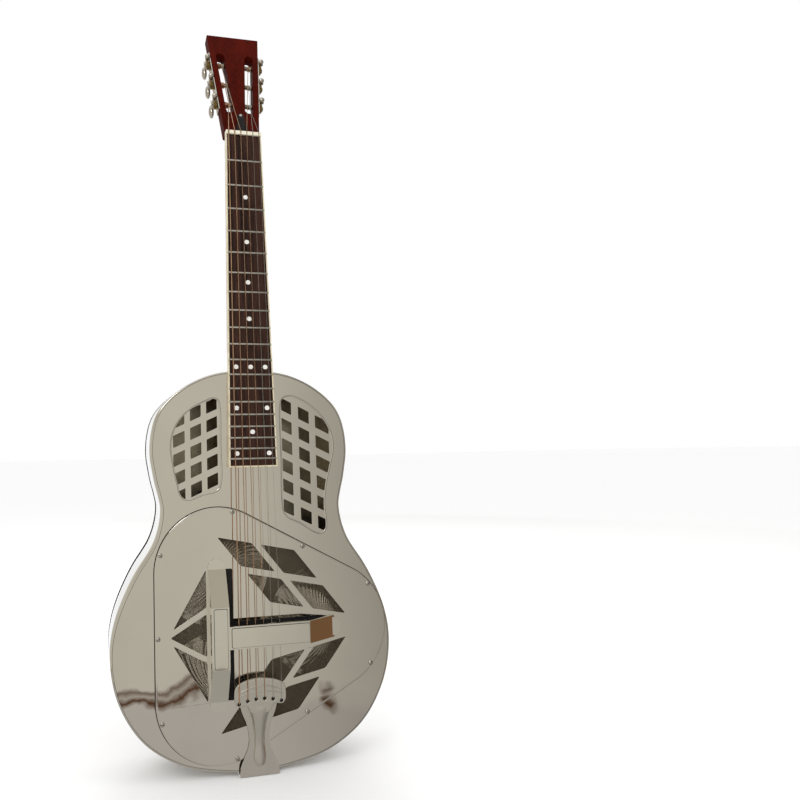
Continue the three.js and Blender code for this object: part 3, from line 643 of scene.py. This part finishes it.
# ---- cones, well, screen and cover ----
def spun_cone(name, x, z):
    """A spun cone with shallow curved ribs pressed in its flank."""
    ribs, around, top, rim = 60, 480, 1.4, 22.9
    rings = []
    for k in range(25):
        t = k / 24
        r = 10 + (64 - 10) * t
        ring = []
        for a in angles(around):
            wave = math.cos(ribs * (a + 0.5 * t))
            depth = 0.75 * math.sin(math.pi * t) ** 0.5 * max(wave, -0.3) * min(1, r / 30)
            ring.append(at(x + r * math.cos(a), top + (rim - top) * t - depth, z + r * math.sin(a)))
        rings.append(ring)
    flange = [[at(x + r * math.cos(a), y, z + r * math.sin(a)) for a in angles(around)]
              for r, y in ((65.5, rim), (CONE_RADIUS, rim), (CONE_RADIUS, rim + 0.8))]
    add_piece(f"{name}_ribbed", loft(rings + flange, True, False, 60), CONE_ALUMINIUM,
              replaces=[name])


def around_cones(radius, steps=24):
    """The outline at a distance around the three cones: straight edges and three arcs."""
    corners = np.array([CONES[name] for name in ("cone_bass_upper", "cone_bass_lower", "cone_treble")])
    out = []
    for before, corner, after in zip(np.roll(corners, 1, axis=0), corners, np.roll(corners, -1, axis=0)):
        start = math.atan2(*(corner - before)[::-1]) - math.pi / 2
        end = math.atan2(*(after - corner)[::-1]) - math.pi / 2
        end += math.tau if end < start else 0
        out += [(corner[0] + radius * math.cos(a), corner[1] + radius * math.sin(a))
                for a in np.linspace(start, end, steps)]
    return np.array(out)


def cover_plate():
    """The cover: a flat sheet with window and bridge openings, and a rolled edge over a dark ring of painted
    shadow.
    Gives back the outlines of its windows."""
    screw_hole_area = 30
    outer = around_cones(COVER_RADIUS - 2)
    openings = [loop for loop in front_loops("cover_plate")[1:] if area(loop) > screw_hole_area]
    stem_half, stem_end_x = 14.3, 86
    for point in openings[0]:
        if abs(point[1] - MIDLINE_Z) < 2 * stem_half:
            point[1] = MIDLINE_Z + math.copysign(stem_half, point[1] - MIDLINE_Z)
            point[0] = min(point[0], stem_end_x)
    windows = [rounded(loop, 2.2) for loop in openings]
    flat = sheet([offset_loop(outer, -0.4), *windows], COVER_FRONT, COVER_FRONT + 1.1, 0.22)
    edge = [(-0.5, 0.03), (0.7, 0), (1.2, 0.06), (1.6, 0.3), (1.9, 0.75), (2, 1.3), (2, 2.3), (1.4, 2.4)]
    # A dark ring of painted shadow under the rolled edge, where the cover meets the top.
    edge_shadow = [around_cones(COVER_RADIUS + 0.9), around_cones(COVER_RADIUS - 1)]
    add_piece("cover_edge_shadow", sheet(edge_shadow, -0.3, -0.04, 0.04), SHADOW)
    roll = edge_roll(outer, [(d, COVER_FRONT + y) for d, y in edge])
    add_piece("cover_sheet", joined([flat, roll]), COVER_NICKEL, replaces=["cover_plate"])
    return openings[1:]


def crossings(loop, value, axis):
    """Where a line at a set x or z enters and leaves an outline."""
    other, found = 1 - axis, []
    for a, b in zip(loop, np.roll(loop, -1, axis=0)):
        if (a[axis] - value) * (b[axis] - value) < 0:
            t = (value - a[axis]) / (b[axis] - a[axis])
            found.append(a[other] + t * (b[other] - a[other]))
    return sorted(found)


def screen(windows):
    """Woven wire behind the windows: two layers of round wires, one across the other."""
    pitch, radius, overlap, sides = 1.4, 0.17, 2.0, 5
    points, faces = [], []
    for loop in windows:
        wide = offset_loop(loop, overlap)
        for axis, depth in ((0, 1.6), (1, 1.95)):
            low, high = wide[:, axis].min(), wide[:, axis].max()
            for value in np.arange(math.ceil(low / pitch), math.floor(high / pitch) + 1) * pitch:
                ends = crossings(wide, value, axis)
                if len(ends) < 2:
                    continue
                base = len(points)
                for end in (ends[0], ends[-1]):
                    for a in angles(sides):
                        side, y = radius * math.cos(a), COVER_FRONT + depth + radius * math.sin(a)
                        spot = (value + side, y, end) if axis == 0 else (end, y, value + side)
                        points.append(at(*spot))
                for k in range(sides):
                    after = (k + 1) % sides
                    faces.append((base + k, base + after, base + sides + after, base + sides + k))
    mesh = from_lists(points, faces, 80)
    add_piece("wire_screen", mesh, SCREEN_WIRE, replaces=["cover_screen"])


def screw_head(radius, height, matrix):
    """A domed screw head about the local y axis, with its dome towards -y."""
    dome = [(radius * 0.35, -height * 0.97), (radius * 0.7, -height * 0.78), (radius * 0.93, -height * 0.4),
            (radius, -0.05), (radius, 0.1)]
    return turned(dome, 24, matrix, 40)


def cover_screws():
    for k in range(1, 10):
        node = f"cover_screw_{k}"
        low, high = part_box(node)
        middle = design((low + high) / 2)
        front = design(low).y
        turn = Matrix.Rotation(math.radians(37 * k), 4, "Y")
        head = screw_head(3, 1.5, here(middle.x, front + 1.6, middle.z) @ turn)
        add_piece(f"{node}_head", head, SCREW_STEEL, replaces=[node])
        # A dark strip painted as the shade inside the screw's slot.
        slot = box_mesh((-2.5, -1.52, -0.3), (2.5, -1.2, 0.3), here(middle.x, front + 1.6, middle.z) @ turn)
        add_piece(f"{node}_slot", slot, SHADOW)


def box_mesh(low, high, matrix=None, bevel=0.08):
    """A small block with eased edges, in a placed local frame."""
    bm = bmesh.new()
    bmesh.ops.create_cube(bm, size=1)
    for v in bm.verts:
        v.co = Vector([low[i] + (high[i] - low[i]) * (v.co[i] + 0.5) for i in range(3)])
    bmesh.ops.bevel(bm, geom=bm.edges[:], offset=bevel, segments=2, affect="EDGES", profile=0.5)
    for v in bm.verts:
        v.co = place(matrix or Matrix(), v.co)
    return steady(finished(bm))


# ---- the bridge cover ----
def bridge_cover():
    """The CAD hood pressed a little lower, with a raised strip on each arm and a dark line of painted shade
    round it.
    """
    base = COVER_FRONT - GAP
    bm = bmesh.new()
    bm.from_mesh(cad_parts["bridge_cover"].data)
    bmesh.ops.remove_doubles(bm, verts=bm.verts, dist=WELD)
    share = (HOOD_FRONT + HOOD_DROP - base) / (HOOD_FRONT - base)
    for v in bm.verts:
        spot = design(v.co)
        if spot.y < base:
            v.co.y = at(0, base + (spot.y - base) * share, 0).y
    bmesh.ops.dissolve_limit(bm, angle_limit=FLAT_ANGLE, verts=bm.verts, edges=bm.edges)
    sharp = [e for e in bm.edges if len(e.link_faces) == 2 and e.calc_face_angle() > 0.35]
    bmesh.ops.bevel(bm, geom=sharp, offset=0.4 * MM, segments=3, affect="EDGES", profile=0.5,
                    clamp_overlap=True)
    hood = steady(finished(bm, 40))
    add_piece("hood", hood, HOOD_NICKEL, replaces=["bridge_cover"])
    top = HOOD_FRONT + HOOD_DROP
    arms = (("bar", (BAR_X - 7.6, MIDLINE_Z - 34.5), (BAR_X + 8.4, MIDLINE_Z + 34.5)),
            ("stem", (BAR_X + 13.6, MIDLINE_Z - 11.2), (STEM_FLAT_X - 0.8, MIDLINE_Z + 11.2)))
    for name, low, high in arms:
        # The line part is painted shade: a dark ring round each raised strip.
        for part, grow, front, material in (("strip", 0, HOOD_FRONT, HOOD_NICKEL),
                                            ("line", 0.45, top - 0.12, SHADOW)):
            corners = np.array([(low[0] - grow, low[1] - grow), (high[0] + grow, low[1] - grow),
                                (high[0] + grow, high[1] + grow), (low[0] - grow, high[1] + grow)])
            panel = sheet([rounded(corners, 2.2)], front, top + 0.1, 0.05 if part == "line" else 0.3)
            add_piece(f"hood_{name}_{part}", panel, material)


# ---- tailpiece ----
TAIL_FRONT = -15.5
TAIL_SPREAD = 10.5


def tail_head():
    """The arched comb that holds the strings, with six holes and two ridges that follow its arch."""
    half = [(0, -370.5), (14, -371.8), (25, -375.5), (30.5, -380), (32, -387), (32, -396), (29.5, -401),
            (25, -402.5), (19, -401.5), (14.5, -404.5), (11.5, -410), (0, -412)]
    loop = wound(np.array(half + [(-x, z) for x, z in half[-2:0:-1]]))
    holes = []
    for i in range(6):
        x = (i - 2.5) * TAIL_SPREAD
        z = -394.5 - 4.5 * (x / 26) ** 2
        holes.append([(x + 2 * math.cos(a), z + 2 * math.sin(a)) for a in angles(20)])
        # Dark discs behind the holes: painted shade inside them.
        shade = [(x + 2.1 * math.cos(a), z + 2.1 * math.sin(a)) for a in angles(20)]
        add_piece(f"tail_hole_{i + 1}", sheet([shade], TAIL_FRONT + 2, TAIL_FRONT + 2.6, 0.1), SHADOW)
    comb = sheet([smooth_loop(loop, 5), *holes], TAIL_FRONT, TAIL_FRONT + 3, 0.9)
    ridges = [ridge(7, 27, -379.5, 0.9, 0.8), ridge(5, 29, -386, 0.8, 0.7)]
    add_piece("tail_comb", joined([comb, *ridges, tail_spine()]), CAST_NICKEL,
              replaces=["tailpiece"])


def tail_spine():
    """The round spine, thinnest at its middle, that falls to a bulb over the tail."""
    stations = np.array([
        (-403, 15, 1.6), (-408, 12, 2.2), (-414, 9.6, 2.6), (-423, 7.5, 3), (-438, 5.9, 3.2), (-452, 5.9, 3.2),
        (-460, 6.9, 3.3), (-466, 7.5, 3.4), (-471, 6.7, 3.2), (-474, 4.6, 2.6), (-475.5, 2, 1.2),
        (-475.8, 0.1, 0.1)])[::-1]
    rings = []
    for z in np.concatenate([np.linspace(-475.8, -466, 16), np.linspace(-465, -403, 40)]):
        half, thick = (np.interp(z, stations[:, 0], stations[:, k]) for k in (1, 2))
        t = min(1, max(0, (-z - 401) / 54))
        middle = TAIL_FRONT + 1.5 + 7 * t * t * (3 - 2 * t)
        rings.append([at(half * math.cos(a), middle - thick * math.sin(a), z)
                      for a in angles(28)])
    return loft(rings, smooth=70)


def ridge(bow, half, z_middle, width, height):
    """A raised rounded line that follows the arch of the tailpiece's head."""
    rings = []
    for k in range(41):
        t = k / 40 * 2 - 1
        x, z = half * t, z_middle - bow * t * t
        thin = max(0.02, (1 - abs(t) ** 6))
        rings.append([at(x, TAIL_FRONT - height * thin * math.sin(a), z + width * thin * math.cos(a))
                      for a in angles(10)])
    return loft(rings, smooth=70)


# ---- fretboard ----
def taper(z0, z1, edge, front, back):
    """A tapered bar under the strings, as rings of four corners."""
    rings = []
    for z in np.linspace(z0, z1, 13):
        half = board_half(z) - edge
        under = (neck_top(z) if z > 0 else 0) - GAP
        rings.append([at(-half, board_top(z) + front, z), at(half, board_top(z) + front, z),
                      at(half, under + back, z), at(-half, under + back, z)])
    return rings


def fretboard():
    edge = BINDING
    board = loft(taper(BOARD_END_Z + edge, NUT_Z - 0.1, edge, 0, 0), smooth=20)
    add_piece("board", steady(board), BOARD_WOOD, replaces=["fretboard"])
    wires = []
    for n in range(1, FRETS + 1):
        z = fret_z(n)
        half = board_half(z) - 0.5
        rings = []
        for x, height in ((-half, 0.05), (-half + 0.35, 0.8), (-half + 0.8, 1), (0, 1), (half - 0.8, 1),
                          (half - 0.35, 0.8), (half, 0.05)):
            ring = []
            for a in np.linspace(0, math.pi, 9):
                rise = FRET_HEIGHT * height * math.sin(a) ** 0.8
                ring.append(at(x, board_top(z) - rise + 0.02, z + 1.15 * math.cos(a)))
            rings.append(ring)
        wires.append(loft(rings, smooth=60))
    add_piece("fret_wires", joined(wires), FRET_METAL)
    refined("fretboard_binding", CREAM, 0.35, 3)
    refined("nut", BONE, 0.35, 3)
    position_dots()


def position_dots():
    spots = [(n, 0) for n in (3, 5, 7, 9, 12, 17)]
    spots += [(n, side * x) for n, x in ((12, 19), (15, 19.7), (19, 20.7)) for side in (-1, 1)]
    dots = []
    for n, x in spots:
        z = (fret_z(n - 1) + fret_z(n)) / 2
        profile = [(0.02, -0.1), (2, -0.09), (3, -0.05), (3.15, 0.05)]
        dots.append(turned(profile, 32, here(x, board_top(z), z), 60))
    add_piece("dots", joined(dots), PEARL)


# ---- neck and head ----
HEAD = here(0, neck_top(NUT_Z + 5), NUT_Z + 5) @ Matrix.Rotation(-HEAD_TILT, 4, "X")
FLARE = math.atan((HEAD_TOP_HALF - NUT_HALF) / HEAD_LENGTH)


def head_half(s):
    return NUT_HALF - 0.2 + (HEAD_TOP_HALF - NUT_HALF) * s / HEAD_LENGTH


def neck_shaft():
    """The neck as a smooth loft, from the nut to the heel's flat cap."""
    stations = np.array([
        (NUT_Z + 6, 15.5, 1, 2.2), (NUT_Z - 12, 16, 1, 2.2), (180, 17, 1, 2.2), (70, 18.5, 1, 2.2),
        (52, 20.5, 1, 2.1), (41, 26, 1, 1.9), (33, 37, 1.2, 1.6), (28, 52, 1.6, 1.4), (25.5, 66, 2, 1.25),
        (18, 67, 7, 1.15), (10, 67.5, 9.8, 1.1), (3.9, 68, 11, 1.1)])[::-1]
    heights = np.concatenate([np.linspace(3.9, 60, 75), np.linspace(62, NUT_Z + 6, 40)])
    rings = []
    for z in heights:
        depth, cap, power = (np.mean([np.interp(z + shift, stations[:, 0], stations[:, k])
                                      for shift in (-1.2, 0, 1.2)]) for k in (1, 2, 3))
        half = board_half(z) - 0.2
        side = []
        for k in range(21):
            v = math.sin(k / 20 * math.pi / 2)
            side.append((cap + (half - cap) * (1 - v ** power) ** (1 / power), neck_top(z) + depth * v))
        ring = [at(-x, y, z) for x, y in side] + [at(x, y, z) for x, y in reversed(side)]
        rings.append(ring)
    return loft(rings, smooth=45)


def slot_loop(side):
    """The outline of one head slot: straight sides and round ends."""
    r = SLOT_WIDTH / 2
    low, high = SLOT_SPAN[0] + r, SLOT_SPAN[1] - r
    out = []
    for s, start in ((high, 0), (low, math.pi)):
        x = side * (head_half(s) - SLOT_INSET)
        for k in range(17):
            a = start + k / 16 * math.pi
            out.append((x + r * math.cos(a), s + r * math.sin(a)))
    return np.array(out)


def string_ramp(side):
    """The room cut at the nut end of a slot, along the slope of the outer string."""
    string_x, start_s, slope = 16.2, 28, math.radians(11.8)
    start = HEAD @ here(side * string_x, -GAP, start_s) @ Matrix.Rotation(-slope, 4, "X")
    return box_mesh((-1.6, -6, 0), (1.6, 0, 14), start, 0)


def carved(mesh, cutters):
    """A mesh with other meshes cut out of it."""
    made = linked("uncut", mesh)
    tools = [linked("cutter", cutter) for cutter in cutters]
    for tool in tools:
        cut = made.modifiers.new("cut", "BOOLEAN")
        cut.operation, cut.solver, cut.object = "DIFFERENCE", "EXACT", tool
    return baked(made, *tools)


def neck():
    shaft = neck_shaft()
    outline = np.array([(-head_half(0), 0.2), (head_half(0), 0.2), (head_half(HEAD_LENGTH), HEAD_LENGTH),
                        (-head_half(HEAD_LENGTH), HEAD_LENGTH)])
    head = sheet([rounded(outline, 0.8, 4), slot_loop(-1), slot_loop(1)], 0, HEAD_THICK, 0.8, HEAD)
    add_piece("neck_shaft", shaft, NECK_WOOD, replaces=["neck"])
    head = carved(head, [string_ramp(-1), string_ramp(1)])
    add_piece("head", head, HEAD_WOOD)


# ---- tuners ----
WORM_OFFSET = 8.5
WORM_OUT = 4.2
LUG_Y = 5.4


def bank(side):
    """The frame of one row of tuners: x outwards, y = 0 at half the head's thickness."""
    half_turn = Matrix.Rotation(math.pi if side < 0 else 0, 4, "Z")
    edge = HEAD @ here(side * head_half(0), HEAD_THICK / 2, 0)
    return edge @ Matrix.Rotation(side * FLARE, 4, "Y") @ half_turn


AXIS_X = Matrix.Rotation(-math.pi / 2, 4, "Z")


def string_post(k, side, s):
    """The turned post of one string, with the slotted end that holds its gear."""
    home = bank(side) @ here(0, 0, s)
    profile = [(0.02, -24), (2, -23.9), (2, -19), (2.6, -18.6), (3.2, -18.3), (3.2, -17.4), (2.9, -16.8),
               (2.9, -10.6), (3.2, -10), (3.2, -8.9), (2.6, -8.6), (2, -8.3), (2, 6.1), (2.9, 6.1), (3, 6.3),
               (2.8, 7.1), (2.2, 7.4), (0.02, 7.4)]
    post = turned(profile, 28, home @ AXIS_X)
    add_piece(f"post_{k}_turned", post, POST_STEEL, f"post_{k}", [f"string_post_{k}"])
    # A dark block painted as the shade inside the post's slot.
    slot = box_mesh((7.1, -0.35, -1.9), (7.5, 0.35, 1.9), home)
    add_piece(f"post_{k}_slot", slot, SHADOW, f"post_{k}")
    gear(k, home)
    winding(k, side, home)


def gear(k, home):
    """A worm wheel: a rim of teeth with rounded tips, and a hub."""
    teeth, radius = 14, 5.5
    tooth = ((0, radius - 1.1), (0.18, radius - 1), (0.36, radius), (0.64, radius), (0.82, radius - 1))
    outline = []
    for i in range(teeth):
        for share, r in tooth:
            a = (i + share) / teeth * math.tau
            outline.append((r * math.cos(a), r * math.sin(a)))
    bore = [(2.3 * math.cos(a), 2.3 * math.sin(a)) for a in angles(24)]
    wheel = sheet([outline, bore], 2.3, 5.6, 0.15, home @ AXIS_X)
    hub = turned([(2.2, 5.5), (3.3, 5.5), (3.3, 6), (2.2, 6.05)], 24, home @ AXIS_X)
    add_piece(f"gear_{k}", joined([wheel, hub]), GEAR_BRASS, f"post_{k}", [f"tuner_gear_{k}"])


def winding(k, side, home):
    """The string's turns on its post."""
    r, turns = STRING_RADII[k - 1], 3.5
    coil, front = 2.95 + r, -1 if side > 0 else 1
    steps = int(turns * 28)
    spine = []
    for i in range(steps + 1):
        a = math.pi / 2 * front + front * i / steps * turns * math.tau
        x = -SLOT_INSET + (i / steps) * turns * (2 * r + 0.12)
        spine.append(Vector((min(x, -9.6), coil * math.sin(a), coil * math.cos(a))))
    wire = tube(spine, r, 8, home)
    material, slot = (BRONZE, "string_bronze") if k > 2 else (PLAIN_WIRE, "string_steel")
    add_piece(f"winding_{k}", wire, material, f"post_{k}")


def tube(spine, radius, sides, matrix):
    """A round wire along a list of local points."""
    rings = []
    for i, p in enumerate(spine):
        along = (spine[min(i + 1, len(spine) - 1)] - spine[max(i - 1, 0)]).normalized()
        across = along.cross(Vector((1, 0.01, 0.02))).normalized()
        other = along.cross(across)
        rings.append([place(matrix, p + radius * (math.cos(a) * across + math.sin(a) * other))
                      for a in angles(sides)])
    return loft(rings, smooth=70)


def tuner_key(k, side, s):
    """The key: a front knob, a threaded worm between the lugs, a shaft and an oval button."""
    home = bank(side) @ here(WORM_OUT, 0, s + WORM_OFFSET)
    if side < 0:
        home = home @ Matrix.Rotation(math.pi, 4, "Z")
    worm = LUG_Y - 0.9 - GAP
    profile = [(0.02, -11), (1.2, -10.9), (2.4, -10.4), (3.2, -9.5), (3.6, -8.6), (3.5, -7.4), (3.2, -6.8),
               (1.6, -6.6), (1.6, -worm), (1.95, -worm), (1.95, worm), (1.6, worm), (1.6, 17.5), (0.02, 17.5)]
    shaft = turned(profile, 28, home)
    spine = []
    for i in range(97):
        a = i / 96 * 4 * math.tau
        spine.append(Vector((2.15 * math.cos(a), -worm + 0.5 + (2 * worm - 1) * i / 96, 2.15 * math.sin(a))))
    thread = tube(spine, 0.42, 6, home)
    add_piece(f"key_{k}_shaft", joined([shaft, thread]), TUNER_NICKEL, f"tuner_key_{k}",
              [f"tuner_key_{k}"])
    button = button_mesh(home @ here(0, 21, 0))
    add_piece(f"key_{k}_button", button, TUNER_NICKEL, f"tuner_key_{k}")


def button_mesh(home):
    """An oval button: a rounded slab, thicker in the middle."""
    rings = []
    for i in range(1, 20):
        t = -math.pi / 2 + i / 20 * math.pi
        y = 6.1 * math.copysign(abs(math.sin(t)) ** 0.85, t)
        width = math.cos(t) ** 0.7
        ring = []
        for a in angles(40):
            ring.append(place(home, (3.3 * width * math.cos(a), y, 9.1 * width * math.sin(a))))
        rings.append(ring)
    return loft(rings, smooth=80)


def tuners():
    refined("tuner_plate_bass", TUNER_NICKEL, 0.3, 2)
    refined("tuner_plate_treble", TUNER_NICKEL, 0.3, 2)
    for side in (1, -1):
        for row, s in enumerate(POSTS):
            k = 1 + row if side > 0 else 6 - row
            string_post(k, side, s)
            tuner_key(k, side, s)
        for s in (POSTS[0] - 8, (POSTS[0] + POSTS[1]) / 2 + 6, (POSTS[1] + POSTS[2]) / 2 + 6, POSTS[2] + 15):
            screw = bank(side) @ here(GAP + 1.2, 0, s) @ AXIS_X @ Matrix.Rotation(math.pi, 4, "X")
            add_piece(f"plate_screw_{'treble' if side > 0 else 'bass'}_{int(s)}",
                      screw_head(1.7, 0.8, screw), SCREW_STEEL)


def hood_shade():
    """Painted shade: dark strips under the cover plate, beside the arms of the bridge cover, where the hood's
    open sides show dark.
    """
    strips = [(-37.6, -28, MIDLINE_Z + 10, MIDLINE_Z + 79), (-37.6, -28, MIDLINE_Z - 79, MIDLINE_Z - 10),
              (-28, 93, MIDLINE_Z + 9, MIDLINE_Z + 17.5), (-28, 93, MIDLINE_Z - 17.5, MIDLINE_Z - 9)]
    back = COVER_FRONT + 1.15
    shade_strips = [sheet([np.array([(x0, z0), (x1, z0), (x1, z1), (x0, z1)])], back, back + 0.4, 0.1)
            for x0, x1, z0, z1 in strips]
    add_piece("hood_shade", joined(shade_strips), SHADOW)


def inner_parts():
    refined("sound_well", WELL_METAL, 0.3)
    refined("t_bridge", CAST_ALUMINIUM, 0.8, 3)
    refined("saddle", MAPLE, 0.3)
    refined("neck_stick", MAPLE, 0.5)
    refined("truss_rod", SCREW_STEEL, 0.4)
    refined("truss_rod_cover", BLACK, 0.4, 3)
    refined("truss_cover_screw", SCREW_STEEL, 0.15)
    for k in range(1, 7):
        material, slot = (BRONZE, "string_bronze") if k > 2 else (PLAIN_WIRE, "string_steel")
        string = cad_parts[f"string_{k}"]
        string.data.materials.clear()
        string.data.materials.append(material)
        string.data.shade_smooth()


# ---- studio ----
def glow(name, color, strength):
    material = bpy.data.materials.new(name)
    material.use_nodes = True
    tree = material.node_tree
    tree.nodes.clear()
    out = tree.nodes.new("ShaderNodeOutputMaterial")
    shine = tree.nodes.new("ShaderNodeEmission")
    shine.inputs["Color"].default_value = (*color, 1)
    shine.inputs["Strength"].default_value = strength
    tree.links.new(shine.outputs[0], out.inputs[0])
    return material


def card(name, color, strength, middle, size, facing):
    """A coloured studio card that only reflections see."""
    normal = (Vector(facing) - Vector(middle)).normalized()
    across = normal.cross(Vector((0, 0, 1)))
    across = across.normalized() if across.length > 0.1 else Vector((1, 0, 0))
    up = across.cross(normal)
    corners = [Vector(middle) + across * size[0] / 2 * i + up * size[1] / 2 * j
               for i, j in ((-1, -1), (1, -1), (1, 1), (-1, 1))]
    mesh = bpy.data.meshes.new(name)
    mesh.from_pydata(corners, [], [(0, 1, 2, 3)])
    made = linked(name, mesh)
    mesh.materials.append(glow(name, color, strength))
    hide_but_gloss(made)


def hide_but_gloss(made):
    made.visible_camera = False
    made.visible_diffuse = False
    made.visible_shadow = False
    made.visible_transmission = False
    made.visible_volume_scatter = False


def dome():
    """The room that the nickel mirrors: warm walls, a grey floor and dark streaks between."""
    bm = bmesh.new()
    bmesh.ops.create_uvsphere(bm, u_segments=48, v_segments=24, radius=ROOM_RADIUS)
    mesh = bpy.data.meshes.new("dome")
    bm.to_mesh(mesh)
    bm.free()
    made = linked("dome", mesh)
    made.location = (0, -0.03, -0.45)
    material = glow("room", (0.5, 0.5, 0.5), 1.0)
    mesh.materials.append(material)
    hide_but_gloss(made)
    paint_room(material.node_tree)


def paint_room(tree):
    """Bands of the room by height, with broken streaks above the floor line, a greyer right side
    with a bright edge, and a pale window at the rear."""
    room = Nodes(tree)
    split = room.node("ShaderNodeSeparateXYZ")
    room.feed(split, 0, room.place)
    x, y, z = split.outputs
    uneven = room.calculate("MULTIPLY_ADD", room.noise(1.6, 6), 0.5, z)
    height = room.range(uneven, 0, 1, -ROOM_RADIUS, ROOM_RADIUS)
    across = room.range(x, 0, 1, 0, ROOM_RADIUS)
    walls = room.ramp(height, (0.0, (0.36, 0.35, 0.31)), (0.16, (0.375, 0.355, 0.32)),
                      (0.24, (0.42, 0.395, 0.365)), (0.318, (0.45, 0.425, 0.39)), (0.3215, (0.5, 0.47, 0.42)),
                      (0.334, (0.53, 0.505, 0.44)), (0.62, (0.56, 0.535, 0.465)), (0.72, (0.46, 0.43, 0.365)),
                      (0.80, (0.42, 0.385, 0.32)), (0.90, (0.4, 0.375, 0.32)), (1.0, (0.8, 0.8, 0.78)))
    lines = room.ramp(height, (0.3190, 0), (0.3198, 1), (0.3212, 1), (0.3222, 0.3), (0.3262, 0.25),
                      (0.3270, 0.9), (0.3280, 0.9), (0.3290, 0))
    where = room.ramp(across, (0.17, 1), (0.205, 0), (0.328, 0), (0.338, 1), (0.35, 1), (0.36, 0))
    streaked = room.mix(room.calculate("MULTIPLY", lines, where), walls, (0.075, 0.028, 0.008, 1))
    fade = room.ramp(across, (0.22, 1.0), (0.5, 0.58), (0.74, 0.58), (0.78, 1.0), (0.88, 1.0), (0.92, 0.1),
                     (1.0, 0.1))
    beside = room.calculate("ABSOLUTE", room.calculate("ADD", x, 0.5))
    window = room.calculate("MULTIPLY", room.range(beside, 0.75, 0, 0.1, 0.9, "SMOOTHSTEP"),
                       room.range(y, 0, 1, 1.6, 2.6, "SMOOTHSTEP"))
    shine = next(n for n in tree.nodes if n.type == "EMISSION")
    room.feed(shine, "Color", room.mix(window, streaked, (0.58, 0.6, 0.64, 1)))
    room.feed(shine, "Strength", room.calculate("ADD", fade, window))


def floor():
    low = CAD_BOX[0].z - 0.0008
    mesh = bpy.data.meshes.new("floor")
    size = 60.0
    mesh.from_pydata([(-size, -size, low), (size, -size, low), (size, size, low), (-size, size, low)], [],
                     [(0, 1, 2, 3)])
    made = linked("floor", mesh)
    paint = Paint("floor_paper", (0.96, 0.96, 0.96), 0.9)
    paint.link("Base Color", paint.ramp(paint.noise(80, 4), (0.3, 0.955), (0.7, 0.965)))
    mesh.materials.append(paint.material)
    made.visible_glossy = False


def area_light(name, middle, target, size, power, color=(1, 1, 1)):
    data = bpy.data.lights.new(name, "AREA")
    data.shape = "RECTANGLE"
    data.size, data.size_y = size
    data.energy = power
    data.color = color
    made = linked(name, data)
    made.location = middle
    made.rotation_euler = (Vector(target) - Vector(middle)).to_track_quat("-Z", "Y").to_euler()
    return made


def studio():
    scene = bpy.context.scene
    scene.view_settings.view_transform = "Standard"
    world = bpy.data.worlds.new("studio")
    scene.world = world
    world.use_nodes = True
    sky = world.node_tree.nodes["Background"]
    sky.inputs["Color"].default_value = (1, 1, 1, 1)
    sky.inputs["Strength"].default_value = 1.0
    floor()
    dome()
    card("brown_card", (0.17, 0.09, 0.042), 1.0, (2.1, -0.72, -1.15), (0.95, 1.5), (0.08, 0, -0.65))
    area_light("key", (-1.3, -1.4, 1.2), (0, 0, -0.3), (1.0, 1.0), 9)
    for lamp in (area_light("fill", (1.6, -0.8, 0.6), (0, 0, -0.3), (0.8, 1.4), 5),
                 area_light("rear", (0.6, 1.8, 0.8), (0, 0, -0.3), (1.2, 1.2), 8)):
        lamp.visible_glossy = False


body_top()
body_side()
body_back()
inner_liner()
grilles()
for cone_name, (cone_x, cone_z) in CONES.items():
    spun_cone(cone_name, cone_x, cone_z)
screen(cover_plate())
cover_screws()
bridge_cover()
hood_shade()
tail_head()
refined("tail_strap", CAST_NICKEL, 0.5, 3)
fretboard()
neck()
tuners()
inner_parts()
studio()
